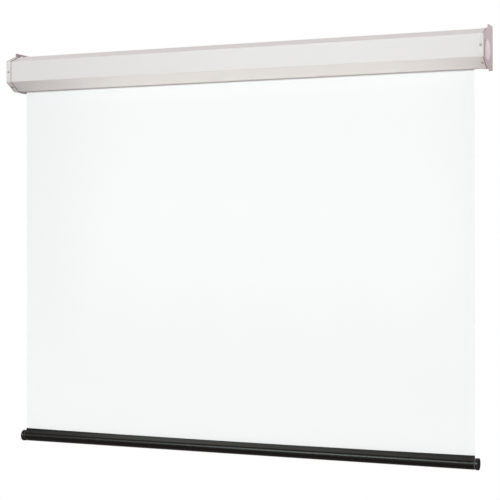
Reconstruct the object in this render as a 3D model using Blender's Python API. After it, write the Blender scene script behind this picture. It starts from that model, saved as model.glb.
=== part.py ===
"""Pull-down projector screen, 4:3, on a spring roller in an eight-sided case.

Metres, +Z up. +X runs along the screen, +Y points back to the wall. The origin is the middle of the
case's flat back, which lies on the wall. The screen is modelled pulled fully down.
"""

import math

import bmesh
import bpy
from mathutils import Matrix, Vector

# Fits
GAP = 0.0003                    # between pieces that touch
HOLE_CLEARANCE = 0.0003         # round a screw, pin or shaft

# Case: a folded sheet with eight sides and a slot underneath
CASE_DEPTH = 0.131
CASE_SHEET = 0.0012
FACE_HEIGHT = 0.0756            # flat front, and flat back
TOP_FLAT = 0.019
BOTTOM_FLAT = 0.0252
TOP_SLOPE_RISE = 0.0233
BOTTOM_SLOPE_RISE = 0.0306
FOLD_RADIUS = 0.0022
SLOT_WIDTH = 0.012
SLOT_LIP = 0.006                # how far the slot's edges are turned up inside
FOLD_STEPS = 3

# End caps
CAP_PAST_SHEET = 0.0464         # sheet's edge to the outer face of an end cap
CAP_PLATE = 0.0025
CAP_BAND = 0.0192               # how far the band reaches over the case
CAP_WALL = 0.0016
EAR_RISE = 0.0155               # above the case's top
EAR_DEPTH = 0.071
EAR_CORNER = 0.003
WALL_TAB = 0.013                # width of the tabs that lie on the wall
WALL_TAB_THICKNESS = 0.0023
WALL_HOLE_RADIUS = 0.0033
HOOK_HOLE_RADIUS = 0.0035
HOOK_HOLE_BACK = 0.030          # from the wall to the ear's hook hole
CENTRE_HOLE_RADIUS = 0.015

# Round covers over the roller's ends
COVER_RADIUS = 0.0344
COVER_RISE = 0.0045
COVER_WALL = 0.0015
COVER_ROUND = 0.0012
COLLAR_WALL = 0.0018
COLLAR_DEPTH = 0.0018           # how far the collar reaches into the end cap's hole

# Screws
CAP_SCREW_HEAD_RADIUS = 0.0043
CAP_SCREW_HEAD = 0.0022
CAP_SCREW_RADIUS = 0.0018
CAP_SCREW_LENGTH = 0.0070
BRACKET_SCREW_HEAD_RADIUS = 0.0040
BRACKET_SCREW_HEAD = 0.0020
BRACKET_SCREW_RADIUS = 0.0020
BRACKET_SCREW_LENGTH = 0.0080
SADDLE_SCREW_HEAD_RADIUS = 0.0032
SADDLE_SCREW_HEAD = 0.0018
SADDLE_SCREW_RADIUS = 0.0016
SADDLE_SCREW_LENGTH = 0.0085
SCREW_SIDES = 12
SCREW_DOME = 0.45               # share of a head's height that is domed
SCREW_POINT = 0.35              # share of a shank's radius that is left at its tip

# Roller brackets
BRACKET_PLATE = 0.0020
BRACKET_WIDTH = 0.040
BRACKET_HEIGHT = 0.058
BRACKET_CORNER = 0.006
BRACKET_SCREW_OFFSET = 0.0225   # above and below the roller's axis
BUSH_BARREL_RADIUS = 0.0072
BUSH_FLANGE_RADIUS = 0.0100
BUSH_FLANGE = 0.0015
BUSH_LENGTH = 0.0050

# Roller
AXIS_ABOVE_BOTTOM = 0.0579      # roller's axis above the case's underside
ROLLER_RADIUS = 0.0190
ROLLER_WALL = 0.0010
ROLLER_END_SPACE = 0.0095       # roller's tube end to bracket
PLUG_DEPTH = 0.020
PLUG_FLANGE = 0.0025
PIN_RADIUS = 0.0050
PIN_PAST_BUSH = 0.0010
PIN_IN_PLUG = 0.016
PIN_CHAMFER = 0.0008

# Fixed shaft, ratchet and spring
SHAFT_RADIUS = 0.0050
SPEAR_THICKNESS = 0.0030
SPEAR_HEIGHT = 0.0090
SPEAR_PAST_BRACKET = 0.0014
SPRING_LENGTH = 0.210
SPRING_RADIUS = 0.0130
SPRING_WIRE_RADIUS = 0.0011
SPRING_TURNS = 24
SPRING_POINTS_PER_TURN = 10
ANCHOR_LENGTH = 0.016
ANCHOR_RADIUS = 0.0172
ANCHOR_CHAMFER = 0.0024
SHAFT_PAST_ANCHOR = 0.004
RATCHET_RADIUS = 0.0110
RATCHET_THICKNESS = 0.0040
NOTCH_FLOOR = 0.0078
NOTCH_STEEP = math.radians(15.0)
NOTCH_RAMP = math.radians(38.0)
NOTCH_FLOOR_SPAN = math.radians(14.0)

# Pawls
PAWL_COUNT = 2
PAWL_PIVOT_RADIUS = 0.0155
PAWL_REACH = math.radians(50.0)    # angle about the roller from pivot to tooth
PAWL_INNER = 0.0145
PAWL_OUTER = 0.0178
PAWL_TIP = 0.0114
PAWL_TOOTH_WIDTH = 0.0026
PAWL_THICKNESS = 0.0034
PAWL_BOSS_RADIUS = 0.0027
PAWL_PIN_RADIUS = 0.0013
PAWL_PIN_HEAD_RADIUS = 0.0024
PAWL_PIN_HEAD = 0.0008
PAWL_PIN_DEPTH = 0.006
FIRST_PAWL_ANGLE = math.radians(90.0)

# Fabric
SCREEN_WIDTH = 1.712
WHITE_HEIGHT = 1.270            # case's underside to the top of the black hem
FABRIC_THICKNESS = 0.0005
FABRIC_TURNS_LEFT = 1.6         # turns that stay on the roller
BATTEN_WIDTH = 0.009
BATTEN_THICKNESS = 0.00045
ROLL_STEPS_PER_TURN = 32

# Bottom bar
BAR_RADIUS = 0.0181
BAR_WALL = 0.0012
BAR_BARE_END = 0.0045           # tube past the fabric, each side
BAR_CAP_RADIUS = 0.0199
BAR_CAP_LENGTH = 0.0105
BAR_CAP_ROUND = 0.0015
BAR_CAP_PLUG = 0.018
HEM_ABOVE_TUBE = 0.0072
WELD_STRIP = 0.0015

# Pull handle, folded up behind the bar
HANDLE_HALF_WIDTH = 0.050
HANDLE_WIRE_RADIUS = 0.0025
HANDLE_LEG = 0.033
HANDLE_CORNER = 0.009
HANDLE_FOOT_TURN = 0.003
HANDLE_PIVOT_BACK = 0.0240      # behind the bar's axis
HANDLE_PIVOT_DROP = 0.0120      # below the bar's axis
GRIP_RADIUS = 0.0044
GRIP_LENGTH = 0.062
GRIP_CHAMFER = 0.0010
SADDLE_THICKNESS = 0.0030
SADDLE_FROM = math.radians(-58.0)
SADDLE_TO = math.radians(18.0)
SADDLE_EAR = 0.0045
SADDLE_BOSS_RADIUS = 0.0052
SADDLE_SCREW_SPACING = 0.050
SADDLE_SCREW_ANGLE = math.radians(-2.0)

ROUND_SIDES = 32
SMALL_ROUND_SIDES = 20

# Places that follow from the sizes
SCREEN_HALF_SPAN = SCREEN_WIDTH / 2 + CAP_PAST_SHEET
CASE_TOP = FACE_HEIGHT / 2 + TOP_SLOPE_RISE
CASE_BOTTOM = -FACE_HEIGHT / 2 - BOTTOM_SLOPE_RISE
CASE_MIDDLE_Y = -CASE_DEPTH / 2
BAND_OUTSIDE = GAP + CAP_WALL
CASE_HALF_LENGTH = SCREEN_HALF_SPAN - CAP_PLATE - GAP
FABRIC_Y = CASE_MIDDLE_Y
LAYER_PITCH = FABRIC_THICKNESS + GAP
ROLL_INSIDE = ROLLER_RADIUS + GAP
ROLL_MIDDLE = ROLL_INSIDE + LAYER_PITCH * FABRIC_TURNS_LEFT + FABRIC_THICKNESS / 2
ROLLER_Y = FABRIC_Y - ROLL_MIDDLE
ROLLER_Z = CASE_BOTTOM + AXIS_ABOVE_BOTTOM
BRACKET_OUTER_X = SCREEN_HALF_SPAN - CAP_PLATE - GAP
BRACKET_INNER_X = BRACKET_OUTER_X - BRACKET_PLATE
ROLLER_HALF_LENGTH = BRACKET_INNER_X - ROLLER_END_SPACE
PLUG_FACE_X = ROLLER_HALF_LENGTH + GAP + PLUG_FLANGE
ROLLER_BORE = ROLLER_RADIUS - ROLLER_WALL
HEM_TOP = CASE_BOTTOM - WHITE_HEIGHT
BAR_Z = HEM_TOP - HEM_ABOVE_TUBE - BAR_RADIUS
BAR_HALF_LENGTH = SCREEN_WIDTH / 2 + BAR_BARE_END
POCKET_RADIUS = BAR_RADIUS + GAP + FABRIC_THICKNESS / 2
POCKET_OUTSIDE = POCKET_RADIUS + FABRIC_THICKNESS / 2
POCKET_APEX = BAR_RADIUS + HEM_ABOVE_TUBE - WELD_STRIP
SADDLE_INSIDE = POCKET_OUTSIDE + GAP
HANDLE_Y = FABRIC_Y + HANDLE_PIVOT_BACK
HANDLE_Z = BAR_Z - HANDLE_PIVOT_DROP

ROLLER_AXIS = Vector((0.0, ROLLER_Y, ROLLER_Z))
BAR_AXIS = Vector((0.0, FABRIC_Y, BAR_Z))
HANDLE_AXIS = Vector((0.0, HANDLE_Y, HANDLE_Z))
WORLD_ORIGIN = Vector((0.0, 0.0, 0.0))
LEFT = -1
RIGHT = 1
SIDES = (("left", LEFT), ("right", RIGHT))

# Finish: colour, roughness, metallic
FINISHES = {
    "case_white": ((0.80, 0.80, 0.78), 0.45, 0.0),
    "cap_white": ((0.72, 0.70, 0.68), 0.45, 0.0),
    "cover_white": ((0.82, 0.78, 0.77), 0.40, 0.0),
    "zinc_steel": ((0.55, 0.56, 0.57), 0.35, 0.9),
    "shaft_steel": ((0.42, 0.43, 0.45), 0.35, 0.9),
    "spring_steel": ((0.25, 0.25, 0.26), 0.35, 0.9),
    "nylon": ((0.85, 0.84, 0.79), 0.50, 0.0),
    "roller_aluminium": ((0.66, 0.66, 0.66), 0.35, 0.9),
    "bar_aluminium": ((0.030, 0.029, 0.029), 0.25, 0.6),
    "screen_white": ((0.90, 0.91, 0.90), 0.85, 0.0),
    "hem_black": ((0.030, 0.028, 0.027), 0.60, 0.0),
    "cap_black": ((0.022, 0.020, 0.022), 0.45, 0.0),
    "wire_black": ((0.020, 0.020, 0.021), 0.30, 0.0),
    "batten_grey": ((0.45, 0.45, 0.45), 0.60, 0.0),
}


def clear_scene():
    """Removes whatever objects the file holds."""
    for existing in list(bpy.data.objects):
        bpy.data.objects.remove(existing, do_unlink=True)


def finish_material(slot):
    """Returns the material of a finish, made once."""
    known = bpy.data.materials.get(slot)
    if known:
        return known
    colour, roughness, metallic = FINISHES[slot]
    made = bpy.data.materials.new(slot)
    made.use_nodes = True
    shader = made.node_tree.nodes["Principled BSDF"]
    shader.inputs["Base Color"].default_value = (*colour, 1.0)
    shader.inputs["Roughness"].default_value = roughness
    shader.inputs["Metallic"].default_value = metallic
    made.diffuse_color = (*colour, 1.0)
    return made


def add_object(name, shape, origin, slot):
    """Makes an object of a bmesh whose points are relative to the origin given."""
    bmesh.ops.recalc_face_normals(shape, faces=shape.faces)
    mesh = bpy.data.meshes.new(name)
    shape.to_mesh(mesh)
    shape.free()
    piece = bpy.data.objects.new(name, mesh)
    bpy.context.scene.collection.objects.link(piece)
    piece.location = origin
    if slot:
        mesh.materials.append(finish_material(slot))
    return piece


def shade_round(piece, crease_degrees=35.0):
    """Shades a turned or rounded piece smooth, and keeps its edges crisp."""
    piece.data.shade_smooth()
    piece.data.set_sharp_from_angle(angle=math.radians(crease_degrees))


def rounded_corners(points, radius, steps=FOLD_STEPS, closed=True):
    """Returns a flat outline with an arc of the radius in place of each corner."""
    result = []
    count = len(points)
    for index, corner in enumerate(points):
        is_end = not closed and index in (0, count - 1)
        if is_end or radius <= 0:
            result.append(tuple(corner))
            continue
        here = Vector(corner)
        before = (Vector(points[index - 1]) - here).normalized()
        after = (Vector(points[(index + 1) % count]) - here).normalized()
        half_angle = math.acos(max(-1.0, min(1.0, before.dot(after)))) / 2
        reach = radius / math.tan(half_angle)
        centre = here + (before + after).normalized() * (radius / math.sin(half_angle))
        start = here + before * reach - centre
        sweep = start.angle_signed(here + after * reach - centre)
        for step in range(steps + 1):
            turn = -sweep * step / steps
            spoke = Matrix.Rotation(turn, 2) @ start
            result.append(tuple(centre + spoke))
    return result


def offset_outline(points, distance, closed=True):
    """Moves each side of an outline by the distance, to the left of its direction."""
    count = len(points)
    result = []
    for index, corner in enumerate(points):
        here = Vector(corner)
        directions = []
        if closed or index > 0:
            directions.append((here - Vector(points[index - 1])).normalized())
        if closed or index < count - 1:
            directions.append((Vector(points[(index + 1) % count]) - here).normalized())
        normals = [Vector((-run.y, run.x)) for run in directions]
        middle = sum(normals, Vector((0.0, 0.0))).normalized()
        result.append(tuple(here + middle * distance / middle.dot(normals[0])))
    return result


def prism(name, outline, x_low, x_high, slot, origin=WORLD_ORIGIN):
    """Extrudes an outline of (y, z) points along X. The outline is in world coordinates."""
    shape = bmesh.new()
    corners = [shape.verts.new((x_low - origin.x, y - origin.y, z - origin.z)) for y, z in outline]
    face = shape.faces.new(corners)
    made = bmesh.ops.extrude_face_region(shape, geom=[face])
    moved = [item for item in made["geom"] if isinstance(item, bmesh.types.BMVert)]
    bmesh.ops.translate(shape, verts=moved, vec=(x_high - x_low, 0.0, 0.0))
    return add_object(name, shape, origin, slot)


def turned(name, profile, slot, origin=WORLD_ORIGIN, ring=False, sides=ROUND_SIDES):
    """Turns a profile of (x, radius) points about the X axis through the origin.

    A ring's profile is a closed loop. Any other profile starts and ends on the axis.
    """
    shape = bmesh.new()
    points = [shape.verts.new((x, 0.0, radius)) for x, radius in profile]
    pairs = list(zip(points, points[1:]))
    if ring:
        pairs.append((points[-1], points[0]))
    edges = [shape.edges.new(pair) for pair in pairs]
    bmesh.ops.spin(shape, geom=points + edges, cent=(0, 0, 0), axis=(1, 0, 0),
                   angle=math.tau, steps=sides, use_merge=True, use_duplicate=False)
    bmesh.ops.remove_doubles(shape, verts=shape.verts, dist=1e-7)
    piece = add_object(name, shape, origin, slot)
    shade_round(piece)
    return piece


def rounded_edge(x, radius, round_radius, steps=3):
    """Returns (x, radius) points of an arc from a round wall to its flat end face at x."""
    angles = [math.pi / 2 * step / steps for step in range(steps + 1)]
    return [(x - round_radius * (1 - math.sin(angle)), radius - round_radius * (1 - math.cos(angle)))
            for angle in angles]


def rectangle(centre, half_wide, half_tall):
    """Returns the four (y, z) corners of an upright rectangle round a centre."""
    return [
        (centre.y - half_wide, centre.z - half_tall),
        (centre.y - half_wide, centre.z + half_tall),
        (centre.y + half_wide, centre.z + half_tall),
        (centre.y + half_wide, centre.z - half_tall),
    ]


def mirrored_x(profile, side):
    """Returns a profile of (x, radius) points on the side asked for."""
    return [(side * x, radius) for x, radius in profile]


def rod_cutter(name, radius, start, end, sides=SMALL_ROUND_SIDES):
    """Makes a round cutter between two points."""
    start = Vector(start)
    run = Vector(end) - start
    shape = bmesh.new()
    bmesh.ops.create_cone(shape, cap_ends=True, segments=sides, radius1=radius, radius2=radius,
                          depth=run.length)
    cutter = add_object(name, shape, start + run / 2, None)
    cutter.rotation_mode = "QUATERNION"
    cutter.rotation_quaternion = Vector((0, 0, 1)).rotation_difference(run)
    return cutter


def as_tool(tool):
    """Marks an object as a cutter or a joining shape, which isn't a piece."""
    tool.hide_render = True
    tool.display_type = "WIRE"


def combine(piece, tool, operation):
    """Cuts a piece by a tool, or joins the tool to it."""
    as_tool(tool)
    step = piece.modifiers.new(f"{operation.lower()} {tool.name}", "BOOLEAN")
    step.operation = operation
    step.solver = "EXACT"
    step.object = tool


def cut(piece, tool):
    """Takes a tool's shape out of a piece."""
    combine(piece, tool, "DIFFERENCE")


def unite(piece, tool):
    """Joins a tool's shape to a piece."""
    combine(piece, tool, "UNION")


def case_corners(outward=0.0):
    """Returns the case's eight corners as (y, z), clockwise from the lower front, moved outward."""
    half_top = TOP_FLAT / 2
    half_bottom = BOTTOM_FLAT / 2
    corners = [
        (-CASE_DEPTH, -FACE_HEIGHT / 2),
        (-CASE_DEPTH, FACE_HEIGHT / 2),
        (CASE_MIDDLE_Y - half_top, CASE_TOP),
        (CASE_MIDDLE_Y + half_top, CASE_TOP),
        (0.0, FACE_HEIGHT / 2),
        (0.0, -FACE_HEIGHT / 2),
        (CASE_MIDDLE_Y + half_bottom, CASE_BOTTOM),
        (CASE_MIDDLE_Y - half_bottom, CASE_BOTTOM),
    ]
    return offset_outline(corners, outward)


def case_sheet_path(inward=0.0):
    """Returns the folded sheet's path from the slot's front lip round to its rear lip."""
    corners = case_corners()
    front = FABRIC_Y - SLOT_WIDTH / 2
    rear = FABRIC_Y + SLOT_WIDTH / 2
    lip_top = CASE_BOTTOM + SLOT_LIP
    path = [(front, lip_top), (front, CASE_BOTTOM), corners[7], *corners[:7], (rear, CASE_BOTTOM),
            (rear, lip_top)]
    return offset_outline(path, -inward, closed=False)


def make_case():
    """The case: one folded sheet, open along the slot."""
    outside = rounded_corners(case_sheet_path(), FOLD_RADIUS, closed=False)
    inside = rounded_corners(case_sheet_path(CASE_SHEET), FOLD_RADIUS - CASE_SHEET, closed=False)
    shell = prism("case_shell", outside + inside[::-1], -CASE_HALF_LENGTH, CASE_HALF_LENGTH, "case_white")
    shade_round(shell)
    for name, side in SIDES:
        for label, seat, outward in cap_screw_seats(side):
            hole = rod_cutter(f"case_hole_{name}_{label}", CAP_SCREW_RADIUS + HOLE_CLEARANCE,
                              seat + outward * CAP_SCREW_LENGTH, seat - outward * CAP_SCREW_LENGTH)
            cut(shell, hole)
    return shell


def cap_screw_seats(side):
    """Returns label, seat and outward direction of the two screws in an end cap's band."""
    x = side * (SCREEN_HALF_SPAN - CAP_BAND / 2)
    corners = case_corners(BAND_OUTSIDE)
    front_middle = Vector((x, corners[0][0], 0.0))
    low = Vector((x, *corners[7]))
    high = Vector((x, *corners[0]))
    run = (high - low).normalized()
    slope_out = Vector((0.0, -run.z, run.y))
    return [("front", front_middle, Vector((0.0, -1.0, 0.0))), ("slope", (low + high) / 2, slope_out)]


def cap_outline():
    """Returns the end cap's outer outline: the case's front, and square to the wall behind."""
    corners = case_corners(BAND_OUTSIDE)
    band_top = CASE_TOP + BAND_OUTSIDE
    ear_top = CASE_TOP + EAR_RISE
    front = rounded_corners([corners[6], corners[7], corners[0], corners[1], corners[2], corners[3]],
                            FOLD_RADIUS + BAND_OUTSIDE, closed=False)[1:-1]
    ear = rounded_corners([(-EAR_DEPTH, band_top), (-EAR_DEPTH, ear_top), (0.0, ear_top)], EAR_CORNER,
                          closed=False)
    return [(0.0, CASE_BOTTOM - BAND_OUTSIDE), *front, *ear]


def make_end_cap(name, side):
    """An end cap: plate, band over the case, hanging ear and the tabs that lie on the wall."""
    outer_x = side * SCREEN_HALF_SPAN
    plate_x = side * (SCREEN_HALF_SPAN - CAP_PLATE)
    band_x = side * (SCREEN_HALF_SPAN - CAP_BAND)
    tab_x = side * (SCREEN_HALF_SPAN - WALL_TAB)
    past_x = side * (SCREEN_HALF_SPAN - 2 * CAP_BAND)
    cap = prism(f"end_cap_{name}", cap_outline(), outer_x, band_x, "cap_white")
    past = CAP_BAND

    space = case_corners(GAP)
    inside = rounded_corners(space, FOLD_RADIUS + GAP)
    cut(cap, prism(f"case_space_{name}", inside, plate_x, past_x, None))
    back = [(-WALL_TAB_THICKNESS - past / 2, space[4][1]), (past, space[4][1]),
            (past, space[5][1]), (-WALL_TAB_THICKNESS - past / 2, space[5][1])]
    cut(cap, prism(f"back_space_{name}", back, plate_x, past_x, None))

    band = case_corners(BAND_OUTSIDE)
    tab_front = -WALL_TAB_THICKNESS
    low = point_on_line(band[6], band[5], tab_front)
    below = [(band[6][0], band[6][1]), low, (tab_front, CASE_BOTTOM - past),
             (band[6][0], CASE_BOTTOM - past)]
    cut(cap, prism(f"low_corner_{name}", below, plate_x, past_x, None))
    high = point_on_line(band[3], band[4], tab_front)
    above = [(-EAR_DEPTH - past, band[3][1]), (band[3][0], band[3][1]), high,
             (tab_front, CASE_TOP + EAR_RISE + past), (-EAR_DEPTH - past, CASE_TOP + EAR_RISE + past)]
    cut(cap, prism(f"ear_space_{name}", above, plate_x, past_x, None))
    for label, z_low, z_high in (("low", CASE_BOTTOM - past, space[5][1]),
                                 ("high", space[4][1], CASE_TOP + EAR_RISE + past)):
        trim = [(tab_front - CAP_WALL * 2, z_low), (past, z_low), (past, z_high),
                (tab_front - CAP_WALL * 2, z_high)]
        cut(cap, prism(f"tab_trim_{label}_{name}", trim, tab_x, past_x, None))

    through = Vector((past, 0.0, 0.0))
    centre = Vector((outer_x, ROLLER_Y, ROLLER_Z))
    cut(cap, rod_cutter(f"centre_hole_{name}", CENTRE_HOLE_RADIUS, centre - through, centre + through,
                        ROUND_SIDES))
    hook = Vector((outer_x, -HOOK_HOLE_BACK, (CASE_TOP + BAND_OUTSIDE + CASE_TOP + EAR_RISE) / 2))
    cut(cap, rod_cutter(f"hook_hole_{name}", HOOK_HOLE_RADIUS, hook - through / 3, hook + through / 3))
    wall_hole = wall_hole_centre(side)
    back_way = Vector((0.0, WALL_TAB_THICKNESS * 2, 0.0))
    cut(cap, rod_cutter(f"wall_hole_{name}", WALL_HOLE_RADIUS, wall_hole - back_way, wall_hole + back_way))
    for label, seat, outward in cap_screw_seats(side):
        hole = rod_cutter(f"cap_hole_{name}_{label}", CAP_SCREW_RADIUS + HOLE_CLEARANCE,
                          seat + outward * CAP_SCREW_LENGTH, seat - outward * CAP_SCREW_LENGTH)
        cut(cap, hole)
    for label, offset in (("upper", BRACKET_SCREW_OFFSET), ("lower", -BRACKET_SCREW_OFFSET)):
        seat = centre + Vector((0.0, 0.0, offset))
        hole = rod_cutter(f"plate_hole_{name}_{label}", BRACKET_SCREW_RADIUS + HOLE_CLEARANCE,
                          seat - through, seat + through)
        cut(cap, hole)
    shade_round(cap)
    return cap


def point_on_line(first, second, y):
    """Returns the (y, z) point of the line through two points at the y given."""
    share = (y - first[0]) / (second[0] - first[0])
    return (y, first[1] + (second[1] - first[1]) * share)


def wall_hole_centre(side):
    """Returns the middle of the screw hole in the ear's wall tab."""
    x = side * (SCREEN_HALF_SPAN - (CAP_PLATE + WALL_TAB) / 2)
    low = CASE_TOP + BAND_OUTSIDE
    high = CASE_TOP + EAR_RISE
    return Vector((x, -WALL_TAB_THICKNESS / 2, (low + high) / 2))


def make_round_cover(name, side):
    """A dished cover over the roller's end, held by a collar in the end cap's hole."""
    seat = SCREEN_HALF_SPAN + GAP
    face = SCREEN_HALF_SPAN + COVER_RISE
    collar = CENTRE_HOLE_RADIUS - HOLE_CLEARANCE
    profile = [
        (face, 0.0),
        *rounded_edge(face, COVER_RADIUS, COVER_ROUND)[::-1],
        (seat, COVER_RADIUS),
        (seat, COVER_RADIUS - COVER_WALL),
        (face - COVER_WALL, COVER_RADIUS - COVER_WALL),
        (face - COVER_WALL, collar),
        (SCREEN_HALF_SPAN - COLLAR_DEPTH, collar),
        (SCREEN_HALF_SPAN - COLLAR_DEPTH, collar - COLLAR_WALL),
        (face - COVER_WALL, collar - COLLAR_WALL),
        (face - COVER_WALL, 0.0),
    ]
    return turned(f"round_cover_{name}", mirrored_x(profile, side), "cover_white", ROLLER_AXIS)


def make_screw(name, seat, outward, head_radius, head_height, radius, length, slot):
    """A pan-head screw whose head stands on the seat, with its shank against the outward direction."""
    dome = head_height * SCREW_DOME
    dome_steps = 3
    angles = [math.pi / 2 * step / dome_steps for step in range(dome_steps, -1, -1)]
    head = [(GAP + head_height - dome * (1 - math.sin(angle)), head_radius * math.cos(angle))
            for angle in angles]
    shank = [
        (GAP, head_radius),
        (GAP, radius),
        (radius - length, radius),
        (-length, radius * SCREW_POINT),
        (-length, 0.0),
    ]
    profile = head + shank
    screw = turned(name, profile, slot, seat, sides=SCREW_SIDES)
    screw.rotation_mode = "QUATERNION"
    screw.rotation_quaternion = Vector((1, 0, 0)).rotation_difference(outward)
    return screw


def make_cap_screws(name, side):
    """The two screws through an end cap's band into the case."""
    for label, seat, outward in cap_screw_seats(side):
        make_screw(f"cap_screw_{name}_{label}", seat, outward, CAP_SCREW_HEAD_RADIUS, CAP_SCREW_HEAD,
                   CAP_SCREW_RADIUS, CAP_SCREW_LENGTH, "zinc_steel")


def make_bracket(name, side):
    """A roller bracket: a plate inside the end cap, slotted for the spear or bored for the bush."""
    corners = rectangle(ROLLER_AXIS, BRACKET_WIDTH / 2, BRACKET_HEIGHT / 2)
    outline = rounded_corners(corners, BRACKET_CORNER)
    bracket = prism(f"roller_bracket_{name}", outline, side * BRACKET_INNER_X, side * BRACKET_OUTER_X,
                    "zinc_steel", ROLLER_AXIS)
    through = Vector((CAP_BAND, 0.0, 0.0))
    centre = Vector((side * BRACKET_INNER_X, ROLLER_Y, ROLLER_Z))
    if side == LEFT:
        cut(bracket, prism("bracket_slot", spear_section(HOLE_CLEARANCE), centre.x - CAP_BAND,
                           centre.x + CAP_BAND, None))
    else:
        cut(bracket, rod_cutter("bush_hole", BUSH_BARREL_RADIUS + HOLE_CLEARANCE, centre - through,
                                centre + through, ROUND_SIDES))
    for label, offset in (("upper", BRACKET_SCREW_OFFSET), ("lower", -BRACKET_SCREW_OFFSET)):
        seat = centre + Vector((0.0, 0.0, offset))
        cut(bracket, rod_cutter(f"bracket_hole_{name}_{label}", BRACKET_SCREW_RADIUS + HOLE_CLEARANCE,
                                seat - through, seat + through))
    return bracket


def make_bracket_screws(name, side):
    """The two screws that hold a roller bracket, with their heads under the round cover."""
    outward = Vector((side, 0.0, 0.0))
    for label, offset in (("upper", BRACKET_SCREW_OFFSET), ("lower", -BRACKET_SCREW_OFFSET)):
        seat = Vector((side * SCREEN_HALF_SPAN, ROLLER_Y, ROLLER_Z + offset))
        make_screw(f"bracket_screw_{name}_{label}", seat, outward, BRACKET_SCREW_HEAD_RADIUS,
                   BRACKET_SCREW_HEAD, BRACKET_SCREW_RADIUS, BRACKET_SCREW_LENGTH, "zinc_steel")


def make_idle_bush():
    """The nylon bush in the right bracket, flanged on its roller side."""
    flange_face = BRACKET_INNER_X - GAP - BUSH_FLANGE
    bore = PIN_RADIUS + HOLE_CLEARANCE
    profile = [
        (flange_face, bore),
        (flange_face, BUSH_FLANGE_RADIUS),
        (BRACKET_INNER_X - GAP, BUSH_FLANGE_RADIUS),
        (BRACKET_INNER_X - GAP, BUSH_BARREL_RADIUS),
        (flange_face + BUSH_LENGTH, BUSH_BARREL_RADIUS),
        (flange_face + BUSH_LENGTH, bore),
    ]
    return turned("idle_bush", profile, "nylon", ROLLER_AXIS, ring=True)


def spring_span():
    """Returns the x of the spring's end at the plug and of its end at the anchor."""
    start = -ROLLER_HALF_LENGTH + PLUG_DEPTH + GAP
    return start, start + SPRING_LENGTH


def spear_section(clearance=0.0):
    """Returns the spear's section as (y, z) corners, or its slot's with the clearance added."""
    return rectangle(ROLLER_AXIS, SPEAR_THICKNESS / 2 + clearance, SPEAR_HEIGHT / 2 + clearance)


def make_spear_shaft():
    """The fixed shaft: round inside the roller, flattened to a spear outside it."""
    shoulder = -PLUG_FACE_X - GAP
    anchor_start = spring_span()[1] + GAP
    inner_end = anchor_start + ANCHOR_LENGTH + SHAFT_PAST_ANCHOR
    profile = [(shoulder, 0.0), (shoulder, SHAFT_RADIUS), (inner_end, SHAFT_RADIUS), (inner_end, 0.0)]
    shaft = turned("spear_shaft", profile, "shaft_steel", ROLLER_AXIS, sides=SMALL_ROUND_SIDES)
    tip = -BRACKET_OUTER_X - SPEAR_PAST_BRACKET
    unite(shaft, prism("spear", spear_section(), tip, shoulder + SPEAR_HEIGHT, None, ROLLER_AXIS))
    return shaft


def polar(radius, angle):
    """Returns the (y, z) point at a radius and angle about the roller's axis."""
    return (ROLLER_Y + radius * math.cos(angle), ROLLER_Z + radius * math.sin(angle))


def pawl_angles():
    """Returns the angles of the pawl pivots about the roller's axis."""
    return [FIRST_PAWL_ANGLE + math.tau * index / PAWL_COUNT for index in range(PAWL_COUNT)]


def ratchet_span():
    """Returns the x of the ratchet disc's inner and outer faces."""
    inner = -PLUG_FACE_X - 2 * GAP
    return inner, inner - RATCHET_THICKNESS


def make_ratchet_disc():
    """The ratchet disc on the spear, with one notch for each pawl."""
    inner, outer = ratchet_span()
    profile = [(inner, 0.0), (inner, RATCHET_RADIUS), (outer, RATCHET_RADIUS), (outer, 0.0)]
    disc = turned("ratchet_disc", profile, "zinc_steel", ROLLER_AXIS)
    past = RATCHET_THICKNESS
    cut(disc, prism("disc_slot", spear_section(HOLE_CLEARANCE), outer - past, inner + past, None,
                    ROLLER_AXIS))
    beyond = RATCHET_RADIUS + PAWL_TOOTH_WIDTH
    for number, pivot_angle in enumerate(pawl_angles(), start=1):
        tooth = pivot_angle + PAWL_REACH
        notch = [
            polar(NOTCH_FLOOR, tooth - NOTCH_FLOOR_SPAN),
            polar(NOTCH_FLOOR, tooth + NOTCH_STEEP),
            polar(beyond, tooth + NOTCH_STEEP),
            polar(beyond, tooth - NOTCH_RAMP),
        ]
        cut(disc, prism(f"notch_{number}", notch, outer - past, inner + past, None, ROLLER_AXIS))
    return disc


def make_spring_anchor():
    """The anchor near the shaft's inner end, which holds the spring's far end."""
    start = spring_span()[1] + GAP
    bore = SHAFT_RADIUS + HOLE_CLEARANCE
    profile = [
        (start, bore),
        (start, ANCHOR_RADIUS),
        (start + ANCHOR_LENGTH - ANCHOR_CHAMFER, ANCHOR_RADIUS),
        (start + ANCHOR_LENGTH, ANCHOR_RADIUS - ANCHOR_CHAMFER),
        (start + ANCHOR_LENGTH, bore),
    ]
    return turned("spring_anchor", profile, "nylon", ROLLER_AXIS, ring=True)


def tube_along(name, points, radius, slot, origin, resolution):
    """A round bar along a list of points, as a curve with closed ends."""
    curve = bpy.data.curves.new(name, "CURVE")
    curve.dimensions = "3D"
    curve.bevel_depth = radius
    curve.bevel_resolution = resolution
    curve.use_fill_caps = True
    spline = curve.splines.new("POLY")
    spline.points.add(len(points) - 1)
    for knot, place in zip(spline.points, points):
        knot.co = (*(Vector(place) - origin), 1.0)
    piece = bpy.data.objects.new(name, curve)
    bpy.context.scene.collection.objects.link(piece)
    piece.location = origin
    curve.materials.append(finish_material(slot))
    return piece


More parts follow.
